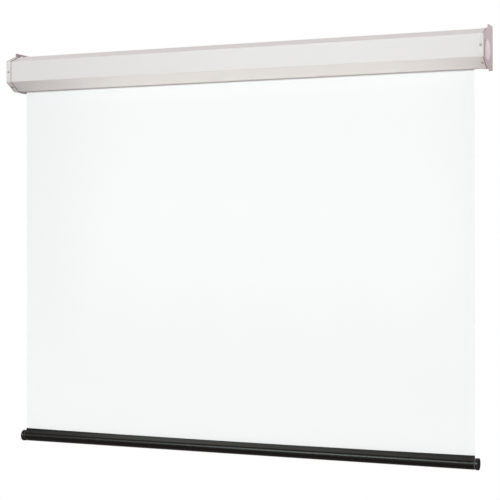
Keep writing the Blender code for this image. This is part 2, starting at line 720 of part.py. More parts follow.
def make_torsion_spring():
    """The torsion spring round the shaft, between the rotating plug and the fixed anchor."""
    start, end = spring_span()
    steps = SPRING_TURNS * SPRING_POINTS_PER_TURN
    inset = SPRING_WIRE_RADIUS
    points = []
    for step in range(steps + 1):
        share = step / steps
        angle = math.tau * SPRING_TURNS * share
        y, z = polar(SPRING_RADIUS, angle)
        points.append((start + inset + (end - start - 2 * inset) * share, y, z))
    pitch = (end - start - 2 * inset) / SPRING_TURNS
    print(f"torsion_spring: least gap between turns {1000 * (pitch - 2 * SPRING_WIRE_RADIUS):.2f} mm")
    return tube_along("torsion_spring", points, SPRING_WIRE_RADIUS, "spring_steel", ROLLER_AXIS, 1)


def make_roller_tube():
    """The roller's tube."""
    end = ROLLER_HALF_LENGTH
    profile = [(-end, ROLLER_BORE), (-end, ROLLER_RADIUS), (end, ROLLER_RADIUS), (end, ROLLER_BORE)]
    return turned("roller_tube", profile, "roller_aluminium", ROLLER_AXIS, ring=True)


def make_plug(name, side, bore):
    """A plug in the roller's end, flanged outside the tube, with a bore on the axis."""
    inner = ROLLER_HALF_LENGTH - PLUG_DEPTH
    barrel = ROLLER_BORE - GAP
    profile = [
        (inner, bore),
        (inner, barrel),
        (ROLLER_HALF_LENGTH + GAP, barrel),
        (ROLLER_HALF_LENGTH + GAP, ROLLER_RADIUS),
        (PLUG_FACE_X, ROLLER_RADIUS),
        (PLUG_FACE_X, bore),
    ]
    return turned(name, mirrored_x(profile, side), "nylon", ROLLER_AXIS, ring=True)


def make_plugs():
    """The two plugs of the roller. The spring end's plug has holes for the pawl pins."""
    spring_plug = make_plug("spring_end_plug", LEFT, SHAFT_RADIUS + HOLE_CLEARANCE)
    for number, angle in enumerate(pawl_angles(), start=1):
        y, z = polar(PAWL_PIVOT_RADIUS, angle)
        outside = Vector((-PLUG_FACE_X - PLUG_FLANGE, y, z))
        inside = Vector((-PLUG_FACE_X + PAWL_PIN_DEPTH + HOLE_CLEARANCE, y, z))
        cut(spring_plug, rod_cutter(f"pin_hole_{number}", PAWL_PIN_RADIUS + HOLE_CLEARANCE, outside,
                                    inside, SCREW_SIDES))
    idle_plug = make_plug("idle_end_plug", RIGHT, PIN_RADIUS + HOLE_CLEARANCE)
    return spring_plug, idle_plug


def make_idle_pin():
    """The round pin of the idle end, which turns in the bush."""
    inner = PLUG_FACE_X - PIN_IN_PLUG
    tip = BRACKET_INNER_X - GAP - BUSH_FLANGE + BUSH_LENGTH + PIN_PAST_BUSH
    profile = [(inner, 0.0), (inner, PIN_RADIUS), (tip - PIN_CHAMFER, PIN_RADIUS),
               (tip, PIN_RADIUS - PIN_CHAMFER), (tip, 0.0)]
    return turned("idle_pin", profile, "shaft_steel", ROLLER_AXIS, sides=SMALL_ROUND_SIDES)


def make_pawls():
    """The pawls, swung clear of the ratchet disc, each with its origin on its pivot."""
    inner, outer = ratchet_span()
    middle = (inner + outer) / 2
    half_tooth = PAWL_TOOTH_WIDTH / 2
    arm_steps = 5
    for number, pivot_angle in enumerate(pawl_angles(), start=1):
        tooth = pivot_angle + PAWL_REACH
        half_at_tip = half_tooth / PAWL_TIP
        half_at_arm = half_tooth / PAWL_INNER
        outside = [polar(PAWL_OUTER, pivot_angle + (PAWL_REACH + half_at_arm) * step / arm_steps)
                   for step in range(arm_steps + 1)]
        arm_inside = [polar(PAWL_INNER, tooth - half_at_arm - (PAWL_REACH - half_at_arm) * step / arm_steps)
                      for step in range(arm_steps + 1)]
        outline = [*outside, polar(PAWL_TIP, tooth + half_at_tip), polar(PAWL_TIP, tooth - half_at_tip),
                   *arm_inside]
        y, z = polar(PAWL_PIVOT_RADIUS, pivot_angle)
        pivot = Vector((0.0, y, z))
        low = middle - PAWL_THICKNESS / 2
        high = middle + PAWL_THICKNESS / 2
        pawl = prism(f"pawl_{number}", outline, low, high, "shaft_steel", pivot)
        boss = turned(f"pawl_boss_{number}", [(low, 0.0), (low, PAWL_BOSS_RADIUS), (high, PAWL_BOSS_RADIUS),
                                              (high, 0.0)], None, pivot, sides=SMALL_ROUND_SIDES)
        unite(pawl, boss)
        reach = Vector((PAWL_THICKNESS, 0.0, 0.0))
        hub = Vector((middle, y, z))
        cut(pawl, rod_cutter(f"pawl_bore_{number}", PAWL_PIN_RADIUS + HOLE_CLEARANCE, hub - reach,
                             hub + reach, SCREW_SIDES))
        make_pawl_pin(number, pivot, low)


def make_pawl_pin(number, pivot, pawl_outer_x):
    """A headed pin that a pawl swings on, set in the spring end's plug."""
    head_inner = pawl_outer_x - GAP
    head_outer = head_inner - PAWL_PIN_HEAD
    inner_end = -PLUG_FACE_X + PAWL_PIN_DEPTH
    profile = [
        (head_outer, 0.0),
        (head_outer, PAWL_PIN_HEAD_RADIUS),
        (head_inner, PAWL_PIN_HEAD_RADIUS),
        (head_inner, PAWL_PIN_RADIUS),
        (inner_end, PAWL_PIN_RADIUS),
        (inner_end, 0.0),
    ]
    return turned(f"pawl_pin_{number}", profile, "zinc_steel", pivot, sides=SCREW_SIDES)


def make_wound_fabric():
    """The turns of fabric that stay on the roller, as one spiral that ends above the sheet."""
    sweep = math.tau * FABRIC_TURNS_LEFT
    steps = round(ROLL_STEPS_PER_TURN * FABRIC_TURNS_LEFT)
    outside = []
    inside = []
    for step in range(steps + 1):
        angle = sweep * step / steps
        inner = ROLL_INSIDE + LAYER_PITCH * (FABRIC_TURNS_LEFT - angle / math.tau)
        inside.append(polar(inner, angle))
        outside.append(polar(inner + FABRIC_THICKNESS, angle))
    half = SCREEN_WIDTH / 2
    roll = prism("wound_fabric", outside + inside[::-1], -half, half, "screen_white", ROLLER_AXIS)
    shade_round(roll)
    return roll


def make_batten():
    """The strip at the fabric's inner edge, which holds it to the roller."""
    begin = math.tau * FABRIC_TURNS_LEFT + GAP / ROLL_INSIDE
    sweep = BATTEN_WIDTH / ROLL_INSIDE
    steps = 4
    angles = [begin + sweep * step / steps for step in range(steps + 1)]
    inside = [polar(ROLL_INSIDE, angle) for angle in angles]
    outside = [polar(ROLL_INSIDE + BATTEN_THICKNESS, angle) for angle in angles]
    half = SCREEN_WIDTH / 2
    return prism("fabric_batten", outside + inside[::-1], -half, half, "batten_grey", ROLLER_AXIS)


def sheet_bottom():
    """Returns the z of the sheet's lower end, where the hem pocket begins."""
    return BAR_Z + POCKET_APEX - GAP


def make_screen_sheet():
    """The sheet, from the roller straight down to the hem."""
    top = ROLLER_Z - GAP
    bottom = sheet_bottom()
    middle = Vector((0.0, FABRIC_Y, (top + bottom) / 2))
    section = rectangle(middle, FABRIC_THICKNESS / 2, (top - bottom) / 2)
    half = SCREEN_WIDTH / 2
    return prism("screen_sheet", section, -half, half, "screen_white", Vector((0.0, FABRIC_Y, top)))


def pocket_path():
    """Returns the hem pocket's middle line: down the front, under the bar and up the back."""
    front_offset = FABRIC_THICKNESS + GAP
    lean = math.acos(POCKET_RADIUS / POCKET_APEX)
    front_tangent = math.pi / 2 + lean
    rear_tangent = math.pi / 2 - lean + math.tau
    steps = ROLL_STEPS_PER_TURN
    path = [(-front_offset, POCKET_APEX + WELD_STRIP), (-front_offset, POCKET_APEX)]
    for step in range(steps + 1):
        angle = front_tangent + (rear_tangent - front_tangent) * step / steps
        path.append((POCKET_RADIUS * math.cos(angle), POCKET_RADIUS * math.sin(angle)))
    path.append((0.0, POCKET_APEX - 3 * GAP))
    return path


def make_hem_pocket():
    """The black pocket round the bar, welded to the sheet's front along its top edge."""
    path = pocket_path()
    half = FABRIC_THICKNESS / 2
    inside = offset_outline(path, half, closed=False)
    outside = offset_outline(path, -half, closed=False)
    outline = [(FABRIC_Y + y, BAR_Z + z) for y, z in outside + inside[::-1]]
    width = SCREEN_WIDTH / 2
    pocket = prism("hem_pocket", outline, -width, width, "hem_black", BAR_AXIS)
    cut_saddle_screw_holes(pocket, "pocket")
    shade_round(pocket)
    return pocket


def make_bar_tube():
    """The tube that weights and stiffens the sheet's lower edge."""
    end = BAR_HALF_LENGTH
    bore = BAR_RADIUS - BAR_WALL
    profile = [(-end, bore), (-end, BAR_RADIUS), (end, BAR_RADIUS), (end, bore)]
    tube = turned("bar_tube", profile, "bar_aluminium", BAR_AXIS, ring=True)
    cut_saddle_screw_holes(tube, "tube")
    return tube


def make_bar_cap(name, side):
    """A cap on the bar's end, with a plug inside the tube."""
    start = BAR_HALF_LENGTH + GAP
    end = BAR_HALF_LENGTH + BAR_CAP_LENGTH
    plug = BAR_RADIUS - BAR_WALL - GAP
    profile = [
        (BAR_HALF_LENGTH - BAR_CAP_PLUG, 0.0),
        (BAR_HALF_LENGTH - BAR_CAP_PLUG, plug),
        (start, plug),
        (start, BAR_CAP_RADIUS),
        *rounded_edge(end, BAR_CAP_RADIUS, BAR_CAP_ROUND),
        (end, 0.0),
    ]
    return turned(f"bar_cap_{name}", mirrored_x(profile, side), "cap_black", BAR_AXIS)


def bar_polar(radius, angle):
    """Returns the (y, z) point at a radius and angle about the bar's axis."""
    return (FABRIC_Y + radius * math.cos(angle), BAR_Z + radius * math.sin(angle))


def saddle_screw_seats():
    """Returns number, seat and outward direction of the saddle's two screws."""
    outward = Vector((0.0, math.cos(SADDLE_SCREW_ANGLE), math.sin(SADDLE_SCREW_ANGLE)))
    y, z = bar_polar(SADDLE_INSIDE + SADDLE_THICKNESS, SADDLE_SCREW_ANGLE)
    half = SADDLE_SCREW_SPACING / 2
    return [(1, Vector((-half, y, z)), outward), (2, Vector((half, y, z)), outward)]


def cut_saddle_screw_holes(piece, label):
    """Bores a piece for the saddle's screws."""
    for number, seat, outward in saddle_screw_seats():
        cut(piece, rod_cutter(f"{label}_hole_{number}", SADDLE_SCREW_RADIUS + HOLE_CLEARANCE,
                              seat + outward * SADDLE_SCREW_LENGTH, seat - outward * SADDLE_SCREW_LENGTH,
                              SCREW_SIDES))


def make_handle_saddle():
    """The saddle on the back of the bar, with an ear at each end for the handle's pivots."""
    steps = 8
    angles = [SADDLE_FROM + (SADDLE_TO - SADDLE_FROM) * step / steps for step in range(steps + 1)]
    inside = [bar_polar(SADDLE_INSIDE, angle) for angle in angles]
    outside = [bar_polar(SADDLE_INSIDE + SADDLE_THICKNESS, angle) for angle in angles]
    half = saddle_half_length()
    saddle = prism("handle_saddle", outside + inside[::-1], -half, half, "cap_black", BAR_AXIS)
    toward_bar = Vector((FABRIC_Y - HANDLE_Y, BAR_Z - HANDLE_Z)).normalized()
    across = Vector((-toward_bar.y, toward_bar.x))
    pivot = Vector((HANDLE_Y, HANDLE_Z))
    root = pivot + toward_bar * (pivot_distance() - SADDLE_INSIDE - SADDLE_THICKNESS / 2)
    block = [tuple(root - across * SADDLE_BOSS_RADIUS), tuple(root + across * SADDLE_BOSS_RADIUS)]
    turn = math.atan2(-toward_bar.y, -toward_bar.x)
    round_steps = 8
    for step in range(round_steps + 1):
        angle = turn - math.pi / 2 + math.pi * step / round_steps
        block.append((HANDLE_Y + SADDLE_BOSS_RADIUS * math.cos(angle),
                      HANDLE_Z + SADDLE_BOSS_RADIUS * math.sin(angle)))
    for name, side in SIDES:
        ear = prism(f"saddle_ear_{name}", block, side * half, side * (half - SADDLE_EAR), None, BAR_AXIS)
        unite(saddle, ear)
        start = Vector((side * (half - 2 * SADDLE_EAR), HANDLE_Y, HANDLE_Z))
        end = Vector((side * (half + SADDLE_EAR), HANDLE_Y, HANDLE_Z))
        cut(saddle, rod_cutter(f"pivot_bore_{name}", HANDLE_WIRE_RADIUS + HOLE_CLEARANCE, start, end,
                               SMALL_ROUND_SIDES))
    cut_saddle_screw_holes(saddle, "saddle")
    return saddle


def pivot_distance():
    """Returns the distance between the bar's axis and the handle's."""
    return math.hypot(HANDLE_PIVOT_BACK, HANDLE_PIVOT_DROP)


def saddle_half_length():
    """Returns half the saddle's length, just inside the handle's legs."""
    return HANDLE_HALF_WIDTH - HANDLE_WIRE_RADIUS - GAP


def make_saddle_screws():
    """The screws that hold the saddle to the bar."""
    for number, seat, outward in saddle_screw_seats():
        make_screw(f"saddle_screw_{number}", seat, outward, SADDLE_SCREW_HEAD_RADIUS, SADDLE_SCREW_HEAD,
                   SADDLE_SCREW_RADIUS, SADDLE_SCREW_LENGTH, "zinc_steel")


def make_handle_bail():
    """The wire bail: two legs, a cross bar, and ends turned in through the saddle's ears."""
    end_x = saddle_half_length() - SADDLE_EAR - GAP
    flat = [(-end_x, 0.0), (-HANDLE_HALF_WIDTH, 0.0), (-HANDLE_HALF_WIDTH, HANDLE_LEG),
            (HANDLE_HALF_WIDTH, HANDLE_LEG), (HANDLE_HALF_WIDTH, 0.0), (end_x, 0.0)]
    foot_steps = 4
    corner_steps = 6
    left_foot = rounded_corners(flat[:3], HANDLE_FOOT_TURN, foot_steps, closed=False)[:-1]
    top = rounded_corners(flat[1:5], HANDLE_CORNER, corner_steps, closed=False)[1:-1]
    right_foot = rounded_corners(flat[3:], HANDLE_FOOT_TURN, foot_steps, closed=False)[1:]
    points = [(x, HANDLE_Y, HANDLE_Z + z) for x, z in left_foot + top + right_foot]
    return tube_along("handle_bail", points, HANDLE_WIRE_RADIUS, "wire_black", HANDLE_AXIS, 2)


def make_handle_grip():
    """The moulded sleeve on the bail's cross bar."""
    half = GRIP_LENGTH / 2
    bore = HANDLE_WIRE_RADIUS + GAP
    profile = [
        (-half, bore),
        (-half, GRIP_RADIUS - GRIP_CHAMFER),
        (-half + GRIP_CHAMFER, GRIP_RADIUS),
        (half - GRIP_CHAMFER, GRIP_RADIUS),
        (half, GRIP_RADIUS - GRIP_CHAMFER),
        (half, bore),
    ]
    grip = turned("handle_grip", profile, "cap_black", HANDLE_AXIS, ring=True, sides=SMALL_ROUND_SIDES)
    grip.data.transform(Matrix.Translation((0.0, 0.0, HANDLE_LEG)))
    return grip


def main():
    """Builds every piece."""
    clear_scene()
    make_case()
    for name, side in SIDES:
        make_end_cap(name, side)
        make_round_cover(name, side)
        make_cap_screws(name, side)
        make_bracket(name, side)
        make_bracket_screws(name, side)
        make_bar_cap(name, side)
    make_idle_bush()
    make_spear_shaft()
    make_ratchet_disc()
    make_spring_anchor()
    make_torsion_spring()
    make_screen_sheet()
    make_roller_tube()
    make_plugs()
    make_idle_pin()
    make_pawls()
    make_wound_fabric()
    make_batten()
    make_bar_tube()
    make_hem_pocket()
    make_handle_saddle()
    make_saddle_screws()
    make_handle_bail()
    make_handle_grip()


main()
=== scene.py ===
"""Dresses the pull-down projector screen and sets it before the camera.

Metres, +Z up. +X runs along the screen and +Y points back to the wall. Places come from the loaded
frame, and each sub-assembly's sizes are the fields of its class.
"""

import logging
import math
from collections.abc import Iterable, Sequence
from dataclasses import dataclass
from enum import Enum
from functools import reduce

import bmesh
import bpy
from mathutils import Matrix, Vector


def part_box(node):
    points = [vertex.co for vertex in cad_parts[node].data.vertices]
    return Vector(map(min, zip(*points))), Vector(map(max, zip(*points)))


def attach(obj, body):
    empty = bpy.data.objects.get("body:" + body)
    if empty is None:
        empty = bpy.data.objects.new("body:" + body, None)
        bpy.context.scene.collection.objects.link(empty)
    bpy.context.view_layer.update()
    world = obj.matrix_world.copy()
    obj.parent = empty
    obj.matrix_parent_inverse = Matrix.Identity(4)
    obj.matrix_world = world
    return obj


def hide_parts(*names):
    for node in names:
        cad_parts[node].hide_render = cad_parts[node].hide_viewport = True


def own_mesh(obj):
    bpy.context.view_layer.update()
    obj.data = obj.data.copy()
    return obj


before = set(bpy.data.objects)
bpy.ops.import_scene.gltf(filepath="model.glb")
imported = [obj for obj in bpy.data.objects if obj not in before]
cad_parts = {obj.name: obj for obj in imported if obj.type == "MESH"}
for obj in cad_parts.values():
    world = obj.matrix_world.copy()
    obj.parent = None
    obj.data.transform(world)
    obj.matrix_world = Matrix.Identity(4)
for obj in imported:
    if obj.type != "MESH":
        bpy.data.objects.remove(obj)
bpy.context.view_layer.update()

LOG = logging.getLogger("projector_screen")

Path = list[tuple[float, float]]
Triple = tuple[float, float, float]
Piece = bpy.types.Object
Socket = bpy.types.NodeSocket
Number = Socket | float
Value = Socket | list[Socket] | float | str | tuple | bpy.types.Material

GAP = 0.0003                    # between pieces that touch
CLOTH = 0.0005                  # thickness of the fabric
MERGE = 1e-6                    # points nearer than this are one
UV_NAME = "cut"                 # UV map in metres along and across the cloth
SHARP_ANGLE = math.radians(38.0)
WHITE = (1.0, 1.0, 1.0)
EVEN = (1.0, 1.0, 1.0)


class Side(Enum):
    """An end of the screen, by the sign of its X."""

    LEFT = -1
    RIGHT = 1

    @property
    def label(self) -> str:
        """Returns the word that stands for the side in the nodes' names."""
        return self.name.lower()


class Grain(Enum):
    """Which way a metal's fine marks run, by how close they stand along X, Y and Z."""

    ALONG = (6.0, 1900.0, 1900.0)
    AROUND = (1500.0, 40.0, 40.0)


@dataclass(frozen=True)
class Pattern:
    """A noise in a finish."""

    scale: float  # how many features there are in a metre
    detail: float  # how many finer octaves it has
    stretch: Triple = EVEN  # how much closer they stand along X, Y and Z


@dataclass(frozen=True)
class Seat:
    """Where a repeated thing stands, and which way it points."""

    place: Vector
    outward: Vector


# Node trees


class Graph:
    """A node tree under construction, for a finish, the surroundings or Geometry Nodes."""

    def __init__(self, tree: bpy.types.NodeTree) -> None:
        """Starts from a tree.

        Args:
            tree: The tree that the nodes go into.
        """
        self.tree = tree

    def add(self, kind: str, inputs: dict[str | int, Value] | None = None,
            **settings: str | bool) -> bpy.types.Node:
        """Adds a node.

        Args:
            kind: The node's type name.
            inputs: Constants, sockets or lists of sockets, by the input's name or number.
            **settings: The node's own properties.

        Returns:
            The node.
        """
        node = self.tree.nodes.new(kind)
        for name, value in settings.items():
            setattr(node, name, value)
        for key, value in (inputs or {}).items():
            self.feed(node.inputs[key], value)
        return node

    def feed(self, socket: Socket, value: Value) -> None:
        """Links one or more sources to a socket, or sets its constant.

        Args:
            socket: The input.
            value: A socket, a list of sockets, or a constant.
        """
        for source in value if isinstance(value, list) else [value]:
            if isinstance(source, Socket):
                self.tree.links.new(source, socket)
            else:
                socket.default_value = source

    def math(self, operation: str, *values: Number) -> Socket:
        """Adds a Math node and returns its result."""
        return self.add("ShaderNodeMath", dict(enumerate(values)), operation=operation).outputs[0]

    def product(self, *values: Number) -> Socket:
        """Returns the product of two or more values."""
        return reduce(lambda result, value: self.math("MULTIPLY", result, value), values)

    def axes(self, vector: Socket) -> bpy.types.NodeOutputs:
        """Splits a vector and returns its X, Y and Z."""
        return self.add("ShaderNodeSeparateXYZ", {"Vector": vector}).outputs

    def blend(self, share: Socket, first: Triple | Socket, second: Triple | Socket) -> Socket:
        """Mixes two colours.

        Args:
            share: How much of the second colour there is.
            first: A colour or a socket.
            second: A colour or a socket.

        Returns:
            The mixed colour.
        """
        first_slot, second_slot, result = 6, 7, 2
        values = {0: share, first_slot: opaque(first), second_slot: opaque(second)}
        return self.add("ShaderNodeMix", values, data_type="RGBA").outputs[result]


class FinishGraph(Graph):
    """The nodes of one finish, round a Principled shader."""

    def __init__(self, material: bpy.types.Material) -> None:
        """Starts from a new material.

        Args:
            material: The material whose nodes are built.
        """
        material.use_nodes = True
        super().__init__(material.node_tree)
        self.shader = self.tree.nodes["Principled BSDF"]

    def place(self, stretch: Triple = EVEN) -> Socket:
        """Scales the Object coordinates along each axis.

        Args:
            stretch: The scale along X, Y and Z.

        Returns:
            The scaled coordinates.
        """
        where = self.add("ShaderNodeTexCoord").outputs["Object"]
        return self.add("ShaderNodeMapping", {"Vector": where, "Scale": stretch}).outputs["Vector"]

    def noise(self, pattern: Pattern, where: Socket | None = None) -> Socket:
        """Adds a noise.

        Args:
            pattern: Its pattern.
            where: The coordinates. None stands for the Object coordinates.

        Returns:
            The noise, between 0 and 1.
        """
        if where is None:
            where = self.place(pattern.stretch)
        values = {"Vector": where, "Scale": pattern.scale, "Detail": pattern.detail}
        return self.add("ShaderNodeTexNoise", values).outputs[0]

    def between(self, share: Socket, low: float, high: float, start: float = 0.3, end: float = 0.7) -> Socket:
        """Maps a share onto a range of values.

        Args:
            share: What is mapped.
            low: The result at the start and below.
            high: The result at the end and above.
            start: The share that gives low.
            end: The share that gives high.

        Returns:
            The mapped value.
        """
        values = {"Value": share, "From Min": start, "From Max": end, "To Min": low, "To Max": high}
        return self.add("ShaderNodeMapRange", values).outputs["Result"]

    def relief(self, height: Socket, depth: float, below: Socket | None = None) -> Socket:
        """Turns a height into a bump.

        Args:
            height: The height, from 0 to 1.
            depth: What a height of 1 measures, in metres.
            below: The normal of a coarser bump, if there is one.

        Returns:
            The normal.
        """
        values = {"Height": height, "Distance": depth}
        if below is not None:
            values["Normal"] = below
        return self.add("ShaderNodeBump", values).outputs["Normal"]

    def show(self, **sockets: Number) -> None:
        """Feeds the shader's sockets.

        Args:
            **sockets: Values by the socket's name, with _ for a space.
        """
        for name, value in sockets.items():
            self.feed(self.shader.inputs[name.replace("_", " ")], value)


def opaque(colour: Triple | Socket) -> tuple[float, ...] | Socket:
    """Returns a colour with its alpha, or a socket as it is."""
    return (*colour, 1.0) if isinstance(colour, tuple) else colour


# Finishes


@dataclass(frozen=True)
class Finish:
    """What every finish has."""

    name: str
    colour: Triple
    roughness: float  # how dull the gloss is
    metallic: float = 0.0  # 1 for bare metal, 0 otherwise
    specular: float = 0.5  # the strength of the gloss of what isn't metal
    glossier: float = 0.05  # how much less the roughness gets
    duller: float = 0.05  # how much more it gets

    def material(self) -> bpy.types.Material:
        """Makes the finish's material, or finds it when it is made already.

        Returns:
            The material.
        """
        made = bpy.data.materials.get(self.name)
        if made is None:
            made = bpy.data.materials.new(self.name)
            graph = FinishGraph(made)
            graph.show(Metallic=self.metallic, Specular_IOR_Level=self.specular)
            self.paint(graph)
            made.diffuse_color = opaque(self.colour)
        return made

    def shade(self, share: float) -> Triple:
        """Returns the base colour, made lighter or darker by the share given."""
        return tuple(min(1.0, channel * share) for channel in self.colour)

    def tones(self, graph: FinishGraph, pattern: Socket, low: float, high: float) -> Socket:
        """Returns the base colour, darkened to low and lightened to high by a pattern."""
        return graph.blend(pattern, self.shade(low), self.shade(high))

    def gloss(self, graph: FinishGraph, pattern: Socket) -> Socket:
        """Returns the roughness, which strays by a pattern."""
        return graph.between(pattern, self.roughness - self.glossier, self.roughness + self.duller)

    def paint(self, graph: FinishGraph) -> None:
        """Builds the finish's own pattern.

        Args:
            graph: The nodes of the material.
        """
        raise NotImplementedError


@dataclass(frozen=True)
class Grained(Finish):
    """A finish with a fine pattern in its relief and gloss, and a coarse one in its tone."""

    fine: Pattern = Pattern(620.0, 3.0)  # the fine pattern
    coarse: Pattern = Pattern(3.2, 4.0)  # the coarse pattern
    depth: float = 0.00003  # height of the fine pattern
    tone: float = 0.018  # how far the colour strays, as a share

    def paint(self, graph: FinishGraph) -> None:
        """Builds both patterns.

        Args:
            graph: The nodes of the material.
        """
        fine = graph.noise(self.fine)
        graph.show(Base_Color=self.tones(graph, graph.noise(self.coarse), 1 - self.tone, 1 + self.tone),
                   Roughness=self.gloss(graph, fine),
                   Normal=graph.relief(fine, self.depth))


@dataclass(frozen=True)
class PowderCoat(Grained):
    """Sprayed and baked paint on steel, with a fine orange peel and a faint uneven tone."""


@dataclass(frozen=True)
class MouldedPlastic(Grained):
    """Injection-moulded plastic with a fine spark-eroded grain and flow marks."""

    fine: Pattern = Pattern(1700.0, 2.0)
    coarse: Pattern = Pattern(1.0, 3.0, (9.0, 26.0, 26.0))
    depth: float = 0.00004
    tone: float = 0.05
    glossier: float = 0.06
    duller: float = 0.08


@dataclass(frozen=True)
class PlatedSteel(Finish):
    """Zinc-plated steel: small crystals with slightly different tones, and dull patches."""

    crystals: float = 420.0  # how many crystals there are in a metre
    patches: Pattern = Pattern(45.0, 3.0)  # pattern of the dull patches
    dark: float = 0.88  # shade of the darkest crystals
    light: float = 1.08  # shade of the lightest
    depth: float = 0.00001  # how far the crystals stand out
    glossier: float = 0.07
    duller: float = 0.12

    def paint(self, graph: FinishGraph) -> None:
        """Builds the crystals and the patches.

        Args:
            graph: The nodes of the material.
        """
        cells = graph.add("ShaderNodeTexVoronoi", {"Vector": graph.place(), "Scale": self.crystals})
        split = graph.add("ShaderNodeSeparateColor", {"Color": cells.outputs["Color"]})
        crystals = split.outputs[0]
        graph.show(Base_Color=self.tones(graph, crystals, self.dark, self.light),
                   Roughness=self.gloss(graph, graph.noise(self.patches)),
                   Normal=graph.relief(crystals, self.depth))


@dataclass(frozen=True)
class WorkedMetal(Finish):
    """Turned or drawn metal, with fine marks along or around it and a faint tarnish."""

    grain: Grain = Grain.ALONG  # which way the marks run
    depth: float = 0.00002
    octaves: float = 3.0  # how many finer octaves they have
    dark: float = 0.86  # shade of the deepest marks
    light: float = 1.1  # shade of the highest
    tarnish: Pattern = Pattern(18.0, 4.0)
    tarnished: float = 0.72  # shade of the tarnish
    cover: float = 0.35  # how much tarnish there is at the most
    glossier: float = 0.08
    duller: float = 0.1

    def paint(self, graph: FinishGraph) -> None:
        """Builds the marks and the tarnish.

        Args:
            graph: The nodes of the material.
        """
        marks = graph.noise(Pattern(1.0, self.octaves, self.grain.value))
        lined = self.tones(graph, marks, self.dark, self.light)
        share = graph.between(graph.noise(self.tarnish), 0.0, self.cover)
        graph.show(Base_Color=graph.blend(share, lined, self.shade(self.tarnished)),
                   Roughness=self.gloss(graph, marks),
                   Normal=graph.relief(marks, self.depth))


@dataclass(frozen=True)
class Dust:
    """Dust and a painted sheen on the upper side of a cloth: a lighter grey, strongest at one place along it
    and fading toward the ends as the light's sheen does.
    """

    colour: Triple
    low: float  # height where it starts
    high: float  # height where it lies full
    left: float = -0.84  # X where it starts
    peak: float = -0.30  # X where it is thickest and the painted sheen brightest
    right: float = 0.95  # X where it is thin
    thin: float = 0.3  # how much of it is left there, as a share
    patchy: float = 0.75  # how much of it is left in the bare patches, as a share


@dataclass(frozen=True)
class CoatedCloth(Finish):
    """Woven cloth under a vinyl coat. Its patterns follow the cloth's own UV map, in metres."""

    pitch: float = 0.0007  # distance from thread to thread
    weave_depth: float = 0.00003  # height of the threads
    coat: Pattern = Pattern(1600.0, 3.0)
    coat_depth: float = 0.00002  # height of the coat's grain
    worn: float = 0.3  # how much of the coat is worn at the most
    patches: Pattern = Pattern(5.0, 4.0)  # pattern of the uneven tone
    tone: float = 0.02  # how far the colour strays, as a share
    dust: Dust | None = None  # the dust and painted sheen on its upper side

    def paint(self, graph: FinishGraph) -> None:
        """Builds the weave, the coat over it, a faint uneven tone and the dust with its painted sheen on top.

        Args:
            graph: The nodes of the material.
        """
        flat = graph.add("ShaderNodeUVMap", uv_map=UV_NAME).outputs["UV"]
        axes = graph.axes(flat)
        warp, weft = (graph.math("SINE", graph.product(axes[axis], math.pi / self.pitch)) for axis in "XY")
        weave = graph.math("MULTIPLY_ADD", graph.product(warp, weft), 0.5, 0.5)
        coat = graph.noise(self.coat, flat)
        patches = graph.noise(self.patches, flat)
        toned = self.tones(graph, patches, 1 - self.tone, 1 + self.tone)
        colour = graph.blend(graph.between(coat, 0.0, self.worn), toned, self.shade(1 - 2 * self.tone))
        # dust with a painted sheen: a lighter grey on the upper strip that stands in for light from above
        if self.dust:
            colour = graph.blend(self.dust_and_sheen_share(graph, patches), colour, self.dust.colour)
        graph.show(Base_Color=colour, Roughness=self.gloss(graph, coat),
                   Normal=graph.relief(coat, self.coat_depth, graph.relief(weave, self.weave_depth)))

    def dust_and_sheen_share(self, graph: FinishGraph, patches: Socket) -> Socket:
        """Finds how much of the dust and painted sheen lies at a place.

        Args:
            graph: The nodes of the material.
            patches: The noise that makes it patchy.

        Returns:
            The share of dust and painted sheen.
        """
        dust = self.dust
        axes = graph.axes(graph.place())
        upper_strip = graph.between(axes["Z"], 0.0, 1.0, dust.low, dust.high)
        # painted sheen along X: strongest at the peak and fading toward the ends, as the light does
        rising = graph.between(axes["X"], 0.0, 1.0, dust.left, dust.peak)
        falling = graph.between(axes["X"], 1.0, dust.thin, dust.peak, dust.right)
        spread = graph.product(upper_strip, graph.product(rising, falling))
        return graph.product(spread, graph.between(patches, dust.patchy, 1.0))


@dataclass(frozen=True)
class Floor(Finish):
    """A plain pale studio floor with a faint mottle."""

    mottle: Pattern = Pattern(1.5, 3.0)
    tone: float = 0.02  # how far the colour strays, as a share

    def paint(self, graph: FinishGraph) -> None:
        """Builds the mottle.

        Args:
            graph: The nodes of the material.
        """
        colour = self.tones(graph, graph.noise(self.mottle), 1 - self.tone, 1 + self.tone)
        graph.show(Base_Color=colour, Roughness=self.roughness)


CASE_PAINT = PowderCoat("case_paint", (0.671, 0.664, 0.647), 0.34, specular=0.30)
# near black on the case's inside: painted shade, so that the slot looks dark
CASE_INSIDE_SHADE = PowderCoat("case_inside_painted_shade", (0.05, 0.047, 0.048), 0.55, specular=0.3)
CAP_PAINT = PowderCoat("cap_paint", (0.67, 0.655, 0.64), 0.44, specular=0.35)
# near black in the seams between plate and band: painted shade of their grooves
SEAM_SHADE = MouldedPlastic("seam_painted_shade", (0.075, 0.06, 0.07), 0.7, specular=0.1)
